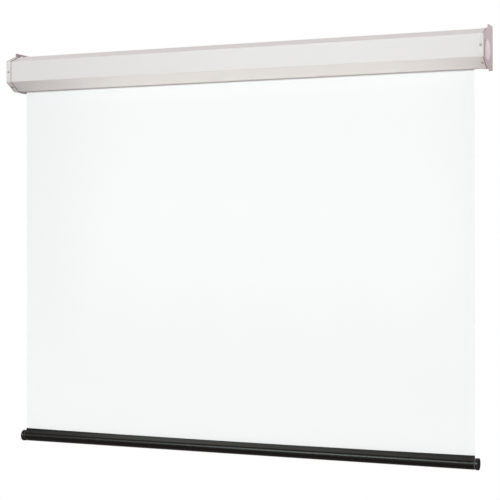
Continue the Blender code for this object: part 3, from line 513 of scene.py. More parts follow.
# the band's sheared inner edge: bare cut steel, darkened near black as painted shade of the step over the
# case
CUT_EDGE_SHADE = WorkedMetal("sheared_edge_painted_shade", (0.09, 0.08, 0.08), 0.5, 0.5)
COVER_PLASTIC = MouldedPlastic("cover_plastic", (0.93, 0.90, 0.905), 0.22, depth=0.00001, tone=0.012)
ZINC = PlatedSteel("zinc", (0.38, 0.375, 0.37), 0.32, 0.92)
SHAFT_STEEL = WorkedMetal("shaft_steel_turned", (0.45, 0.46, 0.47), 0.32, 0.95, grain=Grain.AROUND)
SPRING_STEEL = WorkedMetal("spring_wire", (0.20, 0.20, 0.21), 0.36, 0.9)
NYLON = MouldedPlastic("nylon_natural", (0.80, 0.78, 0.71), 0.48, tone=0.02)
ROLLER_ALUMINIUM = WorkedMetal("roller_drawn", (0.68, 0.68, 0.68), 0.36, 0.95)
BAR_BLACK = WorkedMetal("bar_anodised", (0.030, 0.029, 0.029), 0.14, 0.3, specular=1.0)
SCREEN_WHITE = CoatedCloth("screen_front", (0.862, 0.884, 0.878), 0.78, specular=0.25, tone=0.003)
SCREEN_BACK = CoatedCloth("screen_back", (0.020, 0.020, 0.021), 0.62, specular=0.4, tone=0.08)
# its dust is a lighter grey on the pocket's upper strip, partly dust and partly painted sheen
HEM_BLACK = CoatedCloth("hem_vinyl", (0.005, 0.004, 0.0035), 0.25, specular=0.11, pitch=0.0009, tone=0.10,
                        dust=Dust((0.050, 0.051, 0.046), low=-1.3535, high=-1.3510))
CAP_BLACK = MouldedPlastic("black_plastic_dull", (0.011, 0.0095, 0.011), 0.70, specular=0.02)
RIM_BLACK = MouldedPlastic("black_plastic_smooth", (0.010, 0.008, 0.010), 0.28, specular=0.18, depth=0.00001)
WIRE_BLACK = MouldedPlastic("wire_lacquer", (0.012, 0.012, 0.013), 0.25, fine=Pattern(500.0, 2.0),
                            depth=0.00002)
BATTEN_GREY = MouldedPlastic("batten_plastic", (0.40, 0.40, 0.40), 0.55)
FLOOR_PAINT = Floor("studio_floor", (0.78, 0.78, 0.78), 0.75)


# Shapes


def rounded_path(points: Path, radius: float, steps: int, guard: float = 0.0) -> Path:
    """Puts an arc in place of each corner between the ends.

    Args:
        points: The path, as (y, z).
        radius: The arc's radius.
        steps: How many straight pieces an arc has.
        guard: Distance of one more point before and after each arc, which keeps the flats' shading flat.

    Returns:
        The rounded path.
    """
    result = [tuple(points[0])]
    for last, corner, following in zip(points, points[1:], points[2:]):
        here = Vector(corner)
        before = (Vector(last) - here).normalized()
        after = (Vector(following) - here).normalized()
        half_angle = math.acos(max(-1.0, min(1.0, before.dot(after)))) / 2
        reach = radius / math.tan(half_angle)
        centre = here + (before + after).normalized() * (radius / math.sin(half_angle))
        start = here + before * reach - centre
        sweep = start.angle_signed(here + after * reach - centre)
        bend = [centre + Matrix.Rotation(-sweep * step / steps, 2) @ start for step in range(steps + 1)]
        if guard:
            bend = [here + before * (reach + guard), *bend, here + after * (reach + guard)]
        result += [tuple(point) for point in bend]
    return [*result, tuple(points[-1])]


def offset_path(points: Path, distance: float, closed: bool = False) -> Path:
    """Moves each side of a path to the left of its direction.

    Args:
        points: The path, as (y, z).
        distance: How far it moves.
        closed: Whether the path ends where it starts.

    Returns:
        The moved path.
    """
    count = len(points)
    result = []
    for index, corner in enumerate(points):
        here = Vector(corner)
        runs = []
        if closed or index > 0:
            runs.append((here - Vector(points[index - 1])).normalized())
        if closed or index < count - 1:
            runs.append((Vector(points[(index + 1) % count]) - here).normalized())
        normals = [Vector((-run.y, run.x)) for run in runs]
        middle = sum(normals, Vector((0.0, 0.0))).normalized()
        result.append(tuple(here + middle * distance / middle.dot(normals[0])))
    return result


def domed(face: float, drop: float, radius: float, steps: int) -> Path:
    """Finds the (x, radius) points of a domed face.

    Args:
        face: X of its middle.
        drop: How much lower its rim is.
        radius: Radius of its rim.
        steps: How many straight pieces it has.

    Returns:
        The points, from the middle to the last one before the rim.
    """
    return [(face - drop * (step / steps) ** 2, radius * step / steps) for step in range(steps)]


def arc(x: float, radius: float, size: float, steps: int = 6) -> Path:
    """Finds the (x, radius) points of a rounding from a round wall to its end face.

    Args:
        x: The end face's place.
        radius: The wall's radius.
        size: The rounding's radius. A negative one rounds the face that looks to lower x.
        steps: How many straight pieces it has.

    Returns:
        The points, from the wall to the face.
    """
    depth = abs(size)
    angles = [math.pi / 2 * step / steps for step in range(steps + 1)]
    return [(x - size * (1 - math.sin(angle)), radius - depth * (1 - math.cos(angle))) for angle in angles]


def middle_of(node: str) -> Triple:
    """Returns the middle of a node's box."""
    return tuple((low + high) / 2 for low, high in zip(*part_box(node)))


def axis_of(node: str) -> Vector:
    """Returns the point where the axis of a round node crosses the middle of the screen."""
    return Vector((0.0, *middle_of(node)[1:]))


def ends_of(node: str) -> tuple[float, float]:
    """Returns how far a node's inner and outer end are from the middle of the screen."""
    inner, outer = sorted(abs(corner[0]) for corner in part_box(node))
    return inner, outer


def placed(name: str, data: bpy.types.ID) -> Piece:
    """Puts a new object into the scene.

    Args:
        name: Its name.
        data: Its mesh, curve, light or camera.

    Returns:
        The object.
    """
    piece = bpy.data.objects.new(name, data)
    bpy.context.scene.collection.objects.link(piece)
    return piece


def new_piece(name: str, shape: bmesh.types.BMesh) -> Piece:
    """Makes an object at the origin of a finished bmesh.

    Args:
        name: The piece's name.
        shape: Its shape, which is freed.

    Returns:
        The object.
    """
    mesh = bpy.data.meshes.new(name)
    shape.to_mesh(mesh)
    shape.free()
    return placed(name, mesh)


def made_mesh(carrier: Piece) -> bpy.types.Mesh:
    """Returns what an object's modifiers or curve settings make of it, as a plain mesh."""
    graph = bpy.context.evaluated_depsgraph_get()
    return bpy.data.meshes.new_from_object(carrier.evaluated_get(graph))


def made_piece(carrier: Piece, name: str) -> Piece:
    """Puts a plain piece in place of an object that only carried its making.

    Args:
        carrier: The object, which is removed.
        name: The piece's name.

    Returns:
        The piece.
    """
    mesh = made_mesh(carrier)
    mesh.name = name
    bpy.data.objects.remove(carrier, do_unlink=True)
    return placed(name, mesh)


def settle(piece: Piece) -> None:
    """Bakes a piece's modifiers into its mesh.

    Args:
        piece: The piece.
    """
    mesh = made_mesh(piece)
    piece.modifiers.clear()
    piece.data = mesh


def wall_between(name: str, stations: Sequence[tuple[float, Path, Path]], two_sided: bool = False) -> Piece:
    """Makes a closed thin wall from the paths of its two faces at places along X.

    Args:
        name: The piece's name.
        stations: For each place its x, and the outer and the inner path as (y, z) points.
        two_sided: Whether the inner face has a finish of its own, the second one.

    Returns:
        The piece, with a UV map of the length along X and round the section.
    """
    shape = bmesh.new()
    along = shape.verts.layers.float.new("along")
    rings = []
    for x, *paths in stations:
        ring = []
        for path in paths:
            length = 0.0
            points = []
            for index, (y, z) in enumerate(path):
                if index:
                    length += math.dist(path[index - 1], path[index])
                point = shape.verts.new((x, y, z))
                point[along] = length
                points.append(point)
            ring.append(points)
        rings.append(ring)
    for here, there in zip(rings, rings[1:]):
        for side, (near, far) in enumerate(zip(here, there)):
            for index in range(len(near) - 1):
                face = shape.faces.new((near[index], near[index + 1], far[index + 1], far[index]))
                face.material_index = side if two_sided else 0
        for end in (0, -1):
            shape.faces.new((here[0][end], there[0][end], there[1][end], here[1][end]))
    for outer, inner in (rings[0], rings[-1]):
        for index in range(len(outer) - 1):
            shape.faces.new((outer[index], outer[index + 1], inner[index + 1], inner[index]))
    bmesh.ops.recalc_face_normals(shape, faces=shape.faces)
    flat = shape.loops.layers.uv.new(UV_NAME)
    for face in shape.faces:
        for corner in face.loops:
            corner[flat].uv = (corner.vert.co.x, corner.vert[along])
    return new_piece(name, shape)


def turned(name: str, profile: Path, axis: Vector, ring: bool = False, steps: int = 96) -> Piece:
    """Turns a profile about a line along X.

    Args:
        name: The piece's name.
        profile: Its (x, radius) points, from axis to axis, or a closed loop for a ring.
        axis: A point on the line.
        ring: Whether the profile is a closed loop.
        steps: How many flats go round.

    Returns:
        The piece.
    """
    shape = bmesh.new()
    angles = [math.tau * step / steps for step in range(steps)]
    circles = []
    for x, radius in profile:
        if radius > 0:
            circles.append([shape.verts.new((x, axis.y - radius * math.sin(angle),
                                             axis.z + radius * math.cos(angle))) for angle in angles])
        else:
            circles.append([shape.verts.new((x, axis.y, axis.z))] * steps)
    for near, far in zip(circles, circles[1:] + circles[:1] if ring else circles[1:]):
        for step in range(steps):
            corners = (near[step - 1], far[step - 1], far[step], near[step])
            shape.faces.new(list(dict.fromkeys(corners)))
    bmesh.ops.recalc_face_normals(shape, faces=shape.faces)
    return new_piece(name, shape)


def bore(piece: Piece, seat: Seat, reach: float, radius: float, steps: int = 32) -> None:
    """Bores a round hole.

    Args:
        piece: What is bored.
        seat: The hole's middle and direction.
        reach: How far it goes to both sides.
        radius: Its radius.
        steps: How many flats go round.
    """
    start, end = (seat.place + seat.outward * reach * sign for sign in (-1, 1))
    run = end - start
    shape = bmesh.new()
    turn = Vector((0, 0, 1)).rotation_difference(run).to_matrix().to_4x4()
    bmesh.ops.create_cone(shape, cap_ends=True, segments=steps, radius1=radius, radius2=radius,
                          depth=run.length, matrix=Matrix.Translation(start + run / 2) @ turn)
    take_out(piece, new_piece("drill", shape))


def take_out(piece: Piece, tool: Piece) -> None:
    """Cuts a piece by another object, which is then removed.

    Args:
        piece: What is cut.
        tool: The shape that is taken out.
    """
    for layer in list(tool.data.uv_layers):
        tool.data.uv_layers.remove(layer)
    step = piece.modifiers.new("cut", "BOOLEAN")
    step.operation = "DIFFERENCE"
    step.solver = "EXACT"
    step.object = tool
    bpy.context.view_layer.update()
    settle(piece)
    bpy.data.objects.remove(tool, do_unlink=True)


def soften(piece: Piece, width: float) -> None:
    """Rounds a piece's sharp edges.

    Args:
        piece: What is rounded.
        width: How far the rounding reaches from the edge.
    """
    step = piece.modifiers.new("rounding", "BEVEL")
    step.width = width
    step.segments = 3
    step.limit_method = "ANGLE"
    step.angle_limit = SHARP_ANGLE
    step.use_clamp_overlap = True
    settle(piece)


def node_copy(node: str, name: str) -> Piece:
    """Copies a node's solid as one clean mesh, without its loose triangles.

    Args:
        node: The node.
        name: The copy's name.

    Returns:
        The copy.
    """
    flat_angle = math.radians(0.5)
    shape = bmesh.new()
    shape.from_mesh(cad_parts[node].data)
    bmesh.ops.remove_doubles(shape, verts=shape.verts, dist=2 * MERGE)
    bmesh.ops.dissolve_limit(shape, angle_limit=flat_angle, verts=shape.verts, edges=shape.edges,
                             use_dissolve_boundaries=False)
    bmesh.ops.recalc_face_normals(shape, faces=shape.faces)
    return new_piece(name, shape)


def hand_over(piece: Piece, body: str, finishes: Sequence[Finish] = (),
              nodes: Iterable[str] = ()) -> Piece:
    """Shades a finished piece, dresses it and puts it on its body.

    Args:
        piece: The piece, with its shape final.
        body: The body that it moves with.
        finishes: Its finishes, in the order of its material slots. None keeps what it has.
        nodes: The nodes that it stands for.

    Returns:
        The piece.
    """
    mesh = piece.data
    mesh.shade_smooth()
    mesh.set_sharp_from_angle(angle=SHARP_ANGLE)
    for finish in finishes:
        mesh.materials.append(finish.material())
    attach(piece, body)
    if nodes:
        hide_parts(*nodes)
    LOG.info("%s: %d faces on %s", piece.name, len(mesh.polygons), body)
    return piece


def dress(finish: Finish, *nodes: str) -> None:
    """Gives CAD nodes that stay their finish.

    Args:
        finish: The finish.
        *nodes: The nodes.
    """
    for node in nodes:
        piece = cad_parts[node]
        if not piece.material_slots:
            piece.data.materials.append(finish.material())
        for place in piece.material_slots:
            place.material = finish.material()
        LOG.info("%s: dressed as %s", node, finish.name)


# Geometry Nodes


class ShapeTree(Graph):
    """A Geometry Nodes tree with named sizes, whose result becomes a plain mesh."""

    def __init__(self, name: str, sizes: dict[str, float]) -> None:
        """Makes the tree and its inputs.

        Args:
            name: The tree's name.
            sizes: The value of each named input. A whole number makes a count.
        """
        super().__init__(bpy.data.node_groups.new(name, "GeometryNodeTree"))
        self.sizes = sizes
        self.identifiers = {}
        face = self.tree.interface
        face.new_socket("Geometry", in_out="INPUT", socket_type="NodeSocketGeometry")
        for label, value in sizes.items():
            kind = "NodeSocketInt" if isinstance(value, int) else "NodeSocketFloat"
            self.identifiers[label] = face.new_socket(label, in_out="INPUT", socket_type=kind).identifier
        face.new_socket("Geometry", in_out="OUTPUT", socket_type="NodeSocketGeometry")
        self.start = self.add("NodeGroupInput")

    def size(self, label: str) -> Socket:
        """Returns a named input."""
        return self.start.outputs[label]

    def vector(self, x: Number = 0.0, y: Number = 0.0, z: Number = 0.0) -> Socket:
        """Returns a vector of three numbers or sockets."""
        return self.add("ShaderNodeCombineXYZ", {"X": x, "Y": y, "Z": z}).outputs[0]

    def move(self, geometry: Socket, **how: Socket | tuple) -> Socket:
        """Transforms a geometry by a Translation, Rotation or Scale."""
        return self.add("GeometryNodeTransform", {"Geometry": geometry, **how}).outputs[0]

    def painted(self, geometry: Socket, finish: Finish) -> Socket:
        """Sets the material of a geometry."""
        values = {"Geometry": geometry, "Material": finish.material()}
        return self.add("GeometryNodeSetMaterial", values).outputs[0]

    def on_seats(self, shape: Socket, seed: int | None = None) -> Socket:
        """Puts a copy of a shape on each seat, with its Z axis outward.

        Args:
            shape: The shape.
            seed: The seed of each copy's spin about its axis, or None for no spin.

        Returns:
            The instances.
        """
        named = self.add("GeometryNodeInputNamedAttribute", {"Name": "outward"}, data_type="FLOAT_VECTOR")
        values = {"Vector": named.outputs[0]}
        turn = self.add("FunctionNodeAlignRotationToVector", values, axis="Z").outputs[0]
        if seed is not None:
            spin = self.add("FunctionNodeRandomValue", {"Seed": seed}, data_type="FLOAT").outputs[1]
            values = {"Axis": (0.0, 0.0, 1.0), "Angle": self.product(spin, math.tau)}
            values = {0: turn, 1: self.add("FunctionNodeAxisAngleToRotation", values).outputs[0]}
            turn = self.add("FunctionNodeRotateRotation", values, rotation_space="LOCAL").outputs[0]
        values = {"Points": self.start.outputs["Geometry"], "Instance": shape, "Rotation": turn}
        return self.add("GeometryNodeInstanceOnPoints", values).outputs[0]

    def close(self, geometry: Socket, finish: Finish | None = None) -> None:
        """Ends the tree in real geometry with its material.

        Args:
            geometry: What the tree gives.
            finish: Its finish, or None where the parts are painted already.
        """
        real = self.add("GeometryNodeRealizeInstances", {"Geometry": geometry}).outputs[0]
        self.add("NodeGroupOutput", {"Geometry": self.painted(real, finish) if finish else real})

    def make(self, name: str, seats: Sequence[Seat] = ()) -> Piece:
        """Runs the tree and keeps its result as a plain mesh.

        Args:
            name: The piece's name.
            seats: Where its copies stand.

        Returns:
            The piece.
        """
        mesh = bpy.data.meshes.new("seats")
        mesh.from_pydata([seat.place for seat in seats], [], [])
        outward = mesh.attributes.new("outward", "FLOAT_VECTOR", "POINT")
        for index, seat in enumerate(seats):
            outward.data[index].vector = seat.outward
        carrier = placed(f"{name}_seats", mesh)
        step = carrier.modifiers.new("shape", "NODES")
        step.node_group = self.tree
        for label, value in self.sizes.items():
            step[self.identifiers[label]] = value
        return made_piece(carrier, name)


@dataclass(frozen=True)
class PanScrew:
    """A pan-head screw with a cross recess."""

    head_radius: float
    head_height: float
    shank_radius: float
    length: float  # how far the shank reaches below its seat
    dome: float = 0.45  # how far the head's rim drops, as a share of its height
    dome_power: float = 3.0  # how late it drops toward the rim
    arm: float = 0.56  # half length of the recess's arms, as a share of the head's radius
    slot: float = 0.13  # half width of the arms, as a share of that radius
    recess: float = 0.80  # depth of the recess, as a share of the head's height
    taper: float = 0.30  # size of the recess's floor, as a share of its mouth
    sides: int = 32  # how many flats go round
    rings: int = 5  # how many rings the head's top has
    seed: int = 5  # seed of the screws' turns

    def build(self, name: str, seats: Sequence[Seat]) -> Piece:
        """Makes all the screws of one kind as one mesh.

        Args:
            name: The piece's name.
            seats: Where the heads stand.

        Returns:
            The piece.
        """
        radius, height = self.head_radius, self.head_height
        tree = ShapeTree(f"{name}_tree", {
            "Head Radius": radius, "Head Height": height, "Dome": height * self.dome,
            "Shank Radius": self.shank_radius, "Length": self.length, "Recess Arm": radius * self.arm,
            "Recess Half Width": radius * self.slot, "Recess Depth": height * self.recess,
            "Sides": self.sides,
        })
        body = tree.add("GeometryNodeMeshBoolean", {"Mesh 2": [self.head(tree), self.shank(tree)]},
                        operation="UNION", solver="EXACT").outputs[0]
        arms = [self.recess_arm(tree, turn) for turn in (0.0, math.pi / 2)]
        screw = tree.add("GeometryNodeMeshBoolean", {"Mesh 1": body, "Mesh 2": arms},
                         operation="DIFFERENCE", solver="EXACT").outputs[0]
        tree.close(tree.on_seats(screw, self.seed), ZINC)
        return tree.make(name, seats)

    def bore_for(self, piece: Piece, seats: Sequence[Seat], steps: int = 32) -> None:
        """Bores a piece for the screws' shanks.

        Args:
            piece: What is bored.
            seats: Where the screws stand.
            steps: How many flats go round a hole.
        """
        for seat in seats:
            bore(piece, seat, self.length, self.shank_radius + GAP, steps)

    def head(self, tree: ShapeTree) -> Socket:
        """Makes the domed head, standing on its seat.

        Args:
            tree: The screw's tree.

        Returns:
            The head.
        """
        values = {"Vertices": tree.size("Sides"), "Side Segments": 1, "Fill Segments": self.rings,
                  "Radius": tree.size("Head Radius"), "Depth": tree.size("Head Height")}
        disc = tree.add("GeometryNodeMeshCylinder", values, fill_type="TRIANGLE_FAN")
        place = tree.add("GeometryNodeInputPosition").outputs[0]
        flat = tree.add("ShaderNodeVectorMath", {0: place, 1: (1.0, 1.0, 0.0)}, operation="MULTIPLY")
        radius = tree.add("ShaderNodeVectorMath", {0: flat.outputs[0]}, operation="LENGTH").outputs["Value"]
        share = tree.math("DIVIDE", radius, tree.size("Head Radius"))
        lowered = tree.product(tree.math("POWER", share, self.dome_power), tree.size("Dome"), -1.0)
        values = {"Geometry": disc.outputs["Mesh"], "Selection": disc.outputs["Top"],
                  "Offset": tree.vector(z=lowered)}
        domed_head = tree.add("GeometryNodeSetPosition", values).outputs[0]
        rise = tree.math("MULTIPLY_ADD", tree.size("Head Height"), 0.5, GAP)
        return tree.move(domed_head, Translation=tree.vector(z=rise))

    def shank(self, tree: ShapeTree) -> Socket:
        """Makes the shank, from inside the head down to its tip.

        Args:
            tree: The screw's tree.

        Returns:
            The shank.
        """
        reach = tree.math("ADD", tree.size("Length"), 2 * GAP)
        values = {"Vertices": tree.size("Sides"), "Radius": tree.size("Shank Radius"), "Depth": reach}
        rod = tree.add("GeometryNodeMeshCylinder", values).outputs["Mesh"]
        middle = tree.math("MULTIPLY_ADD", reach, -0.5, 2 * GAP)
        return tree.move(rod, Translation=tree.vector(z=middle))

    def recess_arm(self, tree: ShapeTree, turn: float) -> Socket:
        """Makes the tapered wedge that cuts two opposite arms of the recess.

        Args:
            tree: The screw's tree.
            turn: Its turn about the screw's axis.

        Returns:
            The wedge.
        """
        values = {"Vertices": 4, "Radius Top": 1.0, "Radius Bottom": self.taper,
                  "Depth": tree.math("ADD", tree.size("Recess Depth"), GAP)}
        wedge = tree.add("GeometryNodeMeshCone", values).outputs["Mesh"]
        square = tree.move(wedge, Rotation=(0.0, 0.0, math.pi / 4))
        wide, thin = (tree.product(tree.size(label), math.sqrt(2.0))
                      for label in ("Recess Arm", "Recess Half Width"))
        depth = tree.math("SUBTRACT", tree.size("Head Height"), tree.size("Recess Depth"))
        bottom = tree.vector(z=tree.math("ADD", depth, GAP))
        scaled = tree.move(square, Scale=tree.vector(wide, thin, 1.0))
        return tree.move(scaled, Translation=bottom, Rotation=(0.0, 0.0, turn))


# Sub-assemblies


@dataclass
class CaseSection:
    """The case's eight-sided section, and how the end caps fit it. The frame gives its overall size."""

    face_height: float = 0.0756  # height of the flat front and of the flat back
    top_flat: float = 0.019  # width of the flat top
    bottom_flat: float = 0.0252  # width of the flat underside
    sheet: float = 0.0012
    fold_radius: float = 0.0022  # outer radius of each fold
    slot_width: float = 0.012  # width of the slot for the fabric
    slot_lip: float = 0.006  # how far the slot's edges are turned up
    fold_steps: int = 7  # how many flats a fold has
    guard: float = 0.0004  # distance of the point that keeps a flat's shading flat beside a fold
    band: float = 0.0192  # how far an end cap's band reaches from the plate's outer face
    plate: float = 0.0025  # thickness of an end cap's plate
    cap_wall: float = 0.0016

    def __post_init__(self) -> None:
        """Reads the case's box from the frame."""
        low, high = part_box("case_shell")
        self.half_length = high[0]
        self.front, self.back = low[1], high[1]
        self.bottom, self.top = low[2], high[2]
        self.middle = (self.front + self.back) / 2

    def corners(self, outward: float = 0.0) -> Path:
        """Finds the eight corners, clockwise from the lower front.

        Args:
            outward: How far the sides are moved outward.

        Returns:
            The corners, as (y, z).
        """
        face, top, bottom = self.face_height / 2, self.top_flat / 2, self.bottom_flat / 2
        outline = [(self.front, -face), (self.front, face),
                   (self.middle - top, self.top), (self.middle + top, self.top),
                   (self.back, face), (self.back, -face),
                   (self.middle + bottom, self.bottom), (self.middle - bottom, self.bottom)]
        return offset_path(outline, outward, closed=True)

    def face_path(self, inward: float) -> Path:
        """Follows a face of the folded sheet from one slot lip round to the other.

        Args:
            inward: The face's distance from the outer one.

        Returns:
            The path, with its folds rounded.
        """
        *upper, last = self.corners()
        half_slot = self.slot_width / 2
        lip_top = self.bottom + self.slot_lip
        front, rear = self.middle - half_slot, self.middle + half_slot
        path = [(front, lip_top), (front, self.bottom), last, *upper, (rear, self.bottom), (rear, lip_top)]
        radius = self.fold_radius - inward
        return rounded_path(offset_path(path, -inward), radius, self.fold_steps, self.guard)


@dataclass
class Case:
    """The case: one folded sheet of painted steel, open along the slot."""

    section: CaseSection
    screw: PanScrew = PanScrew(head_radius=0.0043, head_height=0.0022, shank_radius=0.0018, length=0.0070)

    def screw_seats(self, side: Side) -> list[Seat]:
        """Finds the seats of the two screws in an end cap's band.

        Args:
            side: The end cap's side.

        Returns:
            The seats on the front and on the lower slope.
        """
        outer = self.section.half_length + GAP + self.section.plate
        x = side.value * (outer - self.section.band / 2)
        high, *_, low = (Vector((x, *corner)) for corner in self.section.corners(GAP + self.section.cap_wall))
        run = (high - low).normalized()
        front = Seat(Vector((x, high.y, 0.0)), Vector((0.0, -1.0, 0.0)))
        return [front, Seat((low + high) / 2, Vector((0.0, -run.z, run.y)))]

    def build(self) -> None:
        """Makes the shell, bored for its screws, and the screws."""
        half = self.section.half_length
        paths = [self.section.face_path(inward) for inward in (0.0, self.section.sheet)]
        shell = wall_between("case_folded_sheet", [(-half, *paths), (half, *paths)], True)
        seats = [seat for side in Side for seat in self.screw_seats(side)]
        self.screw.bore_for(shell, seats)
        # the inner face gets the near-black painted shade
        hand_over(shell, "housing", [CASE_PAINT, CASE_INSIDE_SHADE], ["case_shell"])
        screws = self.screw.build("cap_screws", seats)
        names = [f"cap_screw_{side.label}_{place}" for side in Side for place in ("front", "slope")]
        hand_over(screws, "housing", [], names)


@dataclass
class EndCap:
    """An end cap: plate, band over the case, hanging ear and the tabs on the wall."""

    side: Side
    section: CaseSection
    edge: float = 0.00035  # rounding of its edges
    seam_inset: float = 0.0010  # from the plate's outer face to the seams between plate and band
    seam_width: float = 0.0018
    seam_depth: float = 0.0012
    slack: float = 0.00005  # how far a face may be off its place and still count as it

    def __post_init__(self) -> None:
        """Finds the band's outer surface and the seams' distances from the screen's middle."""
        self.surface = self.section.corners(GAP + self.section.cap_wall)
        self.face = ends_of(f"end_cap_{self.side.label}")[1]
        self.seam_near = self.face - self.seam_inset
        self.seam_far = self.face - self.seam_inset - self.seam_width

    def build(self) -> None:
        """Makes the cap from its node, with the seams cut and painted near black as their shade, and the
        edges rounded.
        """
        label = self.side.label
        cap = node_copy(f"end_cap_{label}", f"end_cap_{label}_pressed")
        # the seams get a near-black painted shade; the band's cut edge gets a bare finish darkened as painted
        # shade
        for finish in (CAP_PAINT, SEAM_SHADE, CUT_EDGE_SHADE):
            cap.data.materials.append(finish.material())
        for corners in ((3, 2, 1), (0, 7, 6)):
            take_out(cap, self.seam_cutter(corners))
        self.mark(cap)
        soften(cap, self.edge)
        hand_over(cap, "housing", [], [f"end_cap_{label}"])

    def seam_cutter(self, corners: tuple[int, ...]) -> Piece:
        """Makes the shape that cuts one seam along some sides of the section.

        Args:
            corners: The section's corners that the seam follows.

        Returns:
            The cutter.
        """
        path = [self.surface[index] for index in corners]
        paths = [rounded_path(offset_path(path, shift), self.section.fold_radius, self.section.fold_steps)
                 for shift in (-self.seam_depth, self.seam_depth)]
        edges = sorted(self.side.value * edge for edge in (self.seam_near, self.seam_far))
        return wall_between("seam_cutter", [(x, *paths) for x in edges])

    def mark(self, cap: Piece) -> None:
        """Marks the seams' faces for their painted shade, and those of the band's sheared edge for its
        darkened finish.

        Args:
            cap: The end cap, with its seams cut.
        """
        seam_shade, sheared_and_shaded, mostly = 1, 2, 0.9
        near, far = self.seam_near + self.slack, self.seam_far - self.slack
        band_edge = self.face - self.section.band
        runs = list(zip(self.surface, self.surface[1:] + self.surface[:1]))
        for part in cap.data.polygons:
            x, y, z = self.side.value * part.center.x, part.center.y, part.center.z
            depth = min(((end[1] - start[1]) * (y - start[0]) - (end[0] - start[0]) * (z - start[1]))
                        / math.dist(start, end) for start, end in runs)
            if far < x < near and self.slack < depth < self.seam_depth + self.slack:
                part.material_index = seam_shade
            elif abs(x - band_edge) < self.slack and abs(part.normal.x) > mostly:
                part.material_index = sheared_and_shaded


@dataclass
class RoundCover:
    """A shallow domed cover over the roller's end, with a collar in the end cap's hole."""

    side: Side
    rim_rise: float = 0.0030  # height of its upright rim
    wall: float = 0.0015
    rim_round: float = 0.0009  # rounding at the rim
    collar_radius: float = 0.0147  # outer radius of the collar
    collar_wall: float = 0.0018  # thickness of the collar
    dome_steps: int = 12  # how many rings the dome has

    def build(self) -> None:
        """Makes the cover."""
        label = self.side.label
        node = f"round_cover_{label}"
        low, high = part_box(node)
        radius = (high[2] - low[2]) / 2
        collar_end, face = ends_of(node)
        seat = ends_of(f"end_cap_{label}")[1] + GAP
        shoulder = seat + self.rim_rise
        flat = radius - self.rim_round
        dome = domed(face, face - shoulder, flat, self.dome_steps)
        inside = [(x - self.wall, r) for x, r in dome]
        collar_in = self.collar_radius - self.collar_wall
        under = [point for point in inside if self.collar_radius < point[1] < flat - self.wall]
        centre = [point for point in inside if point[1] < collar_in]
        at_collar = face - (face - shoulder) * (self.collar_radius / flat) ** 2 - self.wall
        profile = [
            *dome, *arc(shoulder, radius, self.rim_round)[::-1],
            (seat, radius), (seat, radius - self.wall), (shoulder - self.wall, radius - self.wall),
            *under[::-1], (at_collar, self.collar_radius), (collar_end, self.collar_radius),
            (collar_end, collar_in), (at_collar, collar_in), *centre[::-1],
        ]
        cover = turned(f"{node}_domed", [(self.side.value * x, r) for x, r in profile], axis_of(node))
        hand_over(cover, "housing", [COVER_PLASTIC], [node])


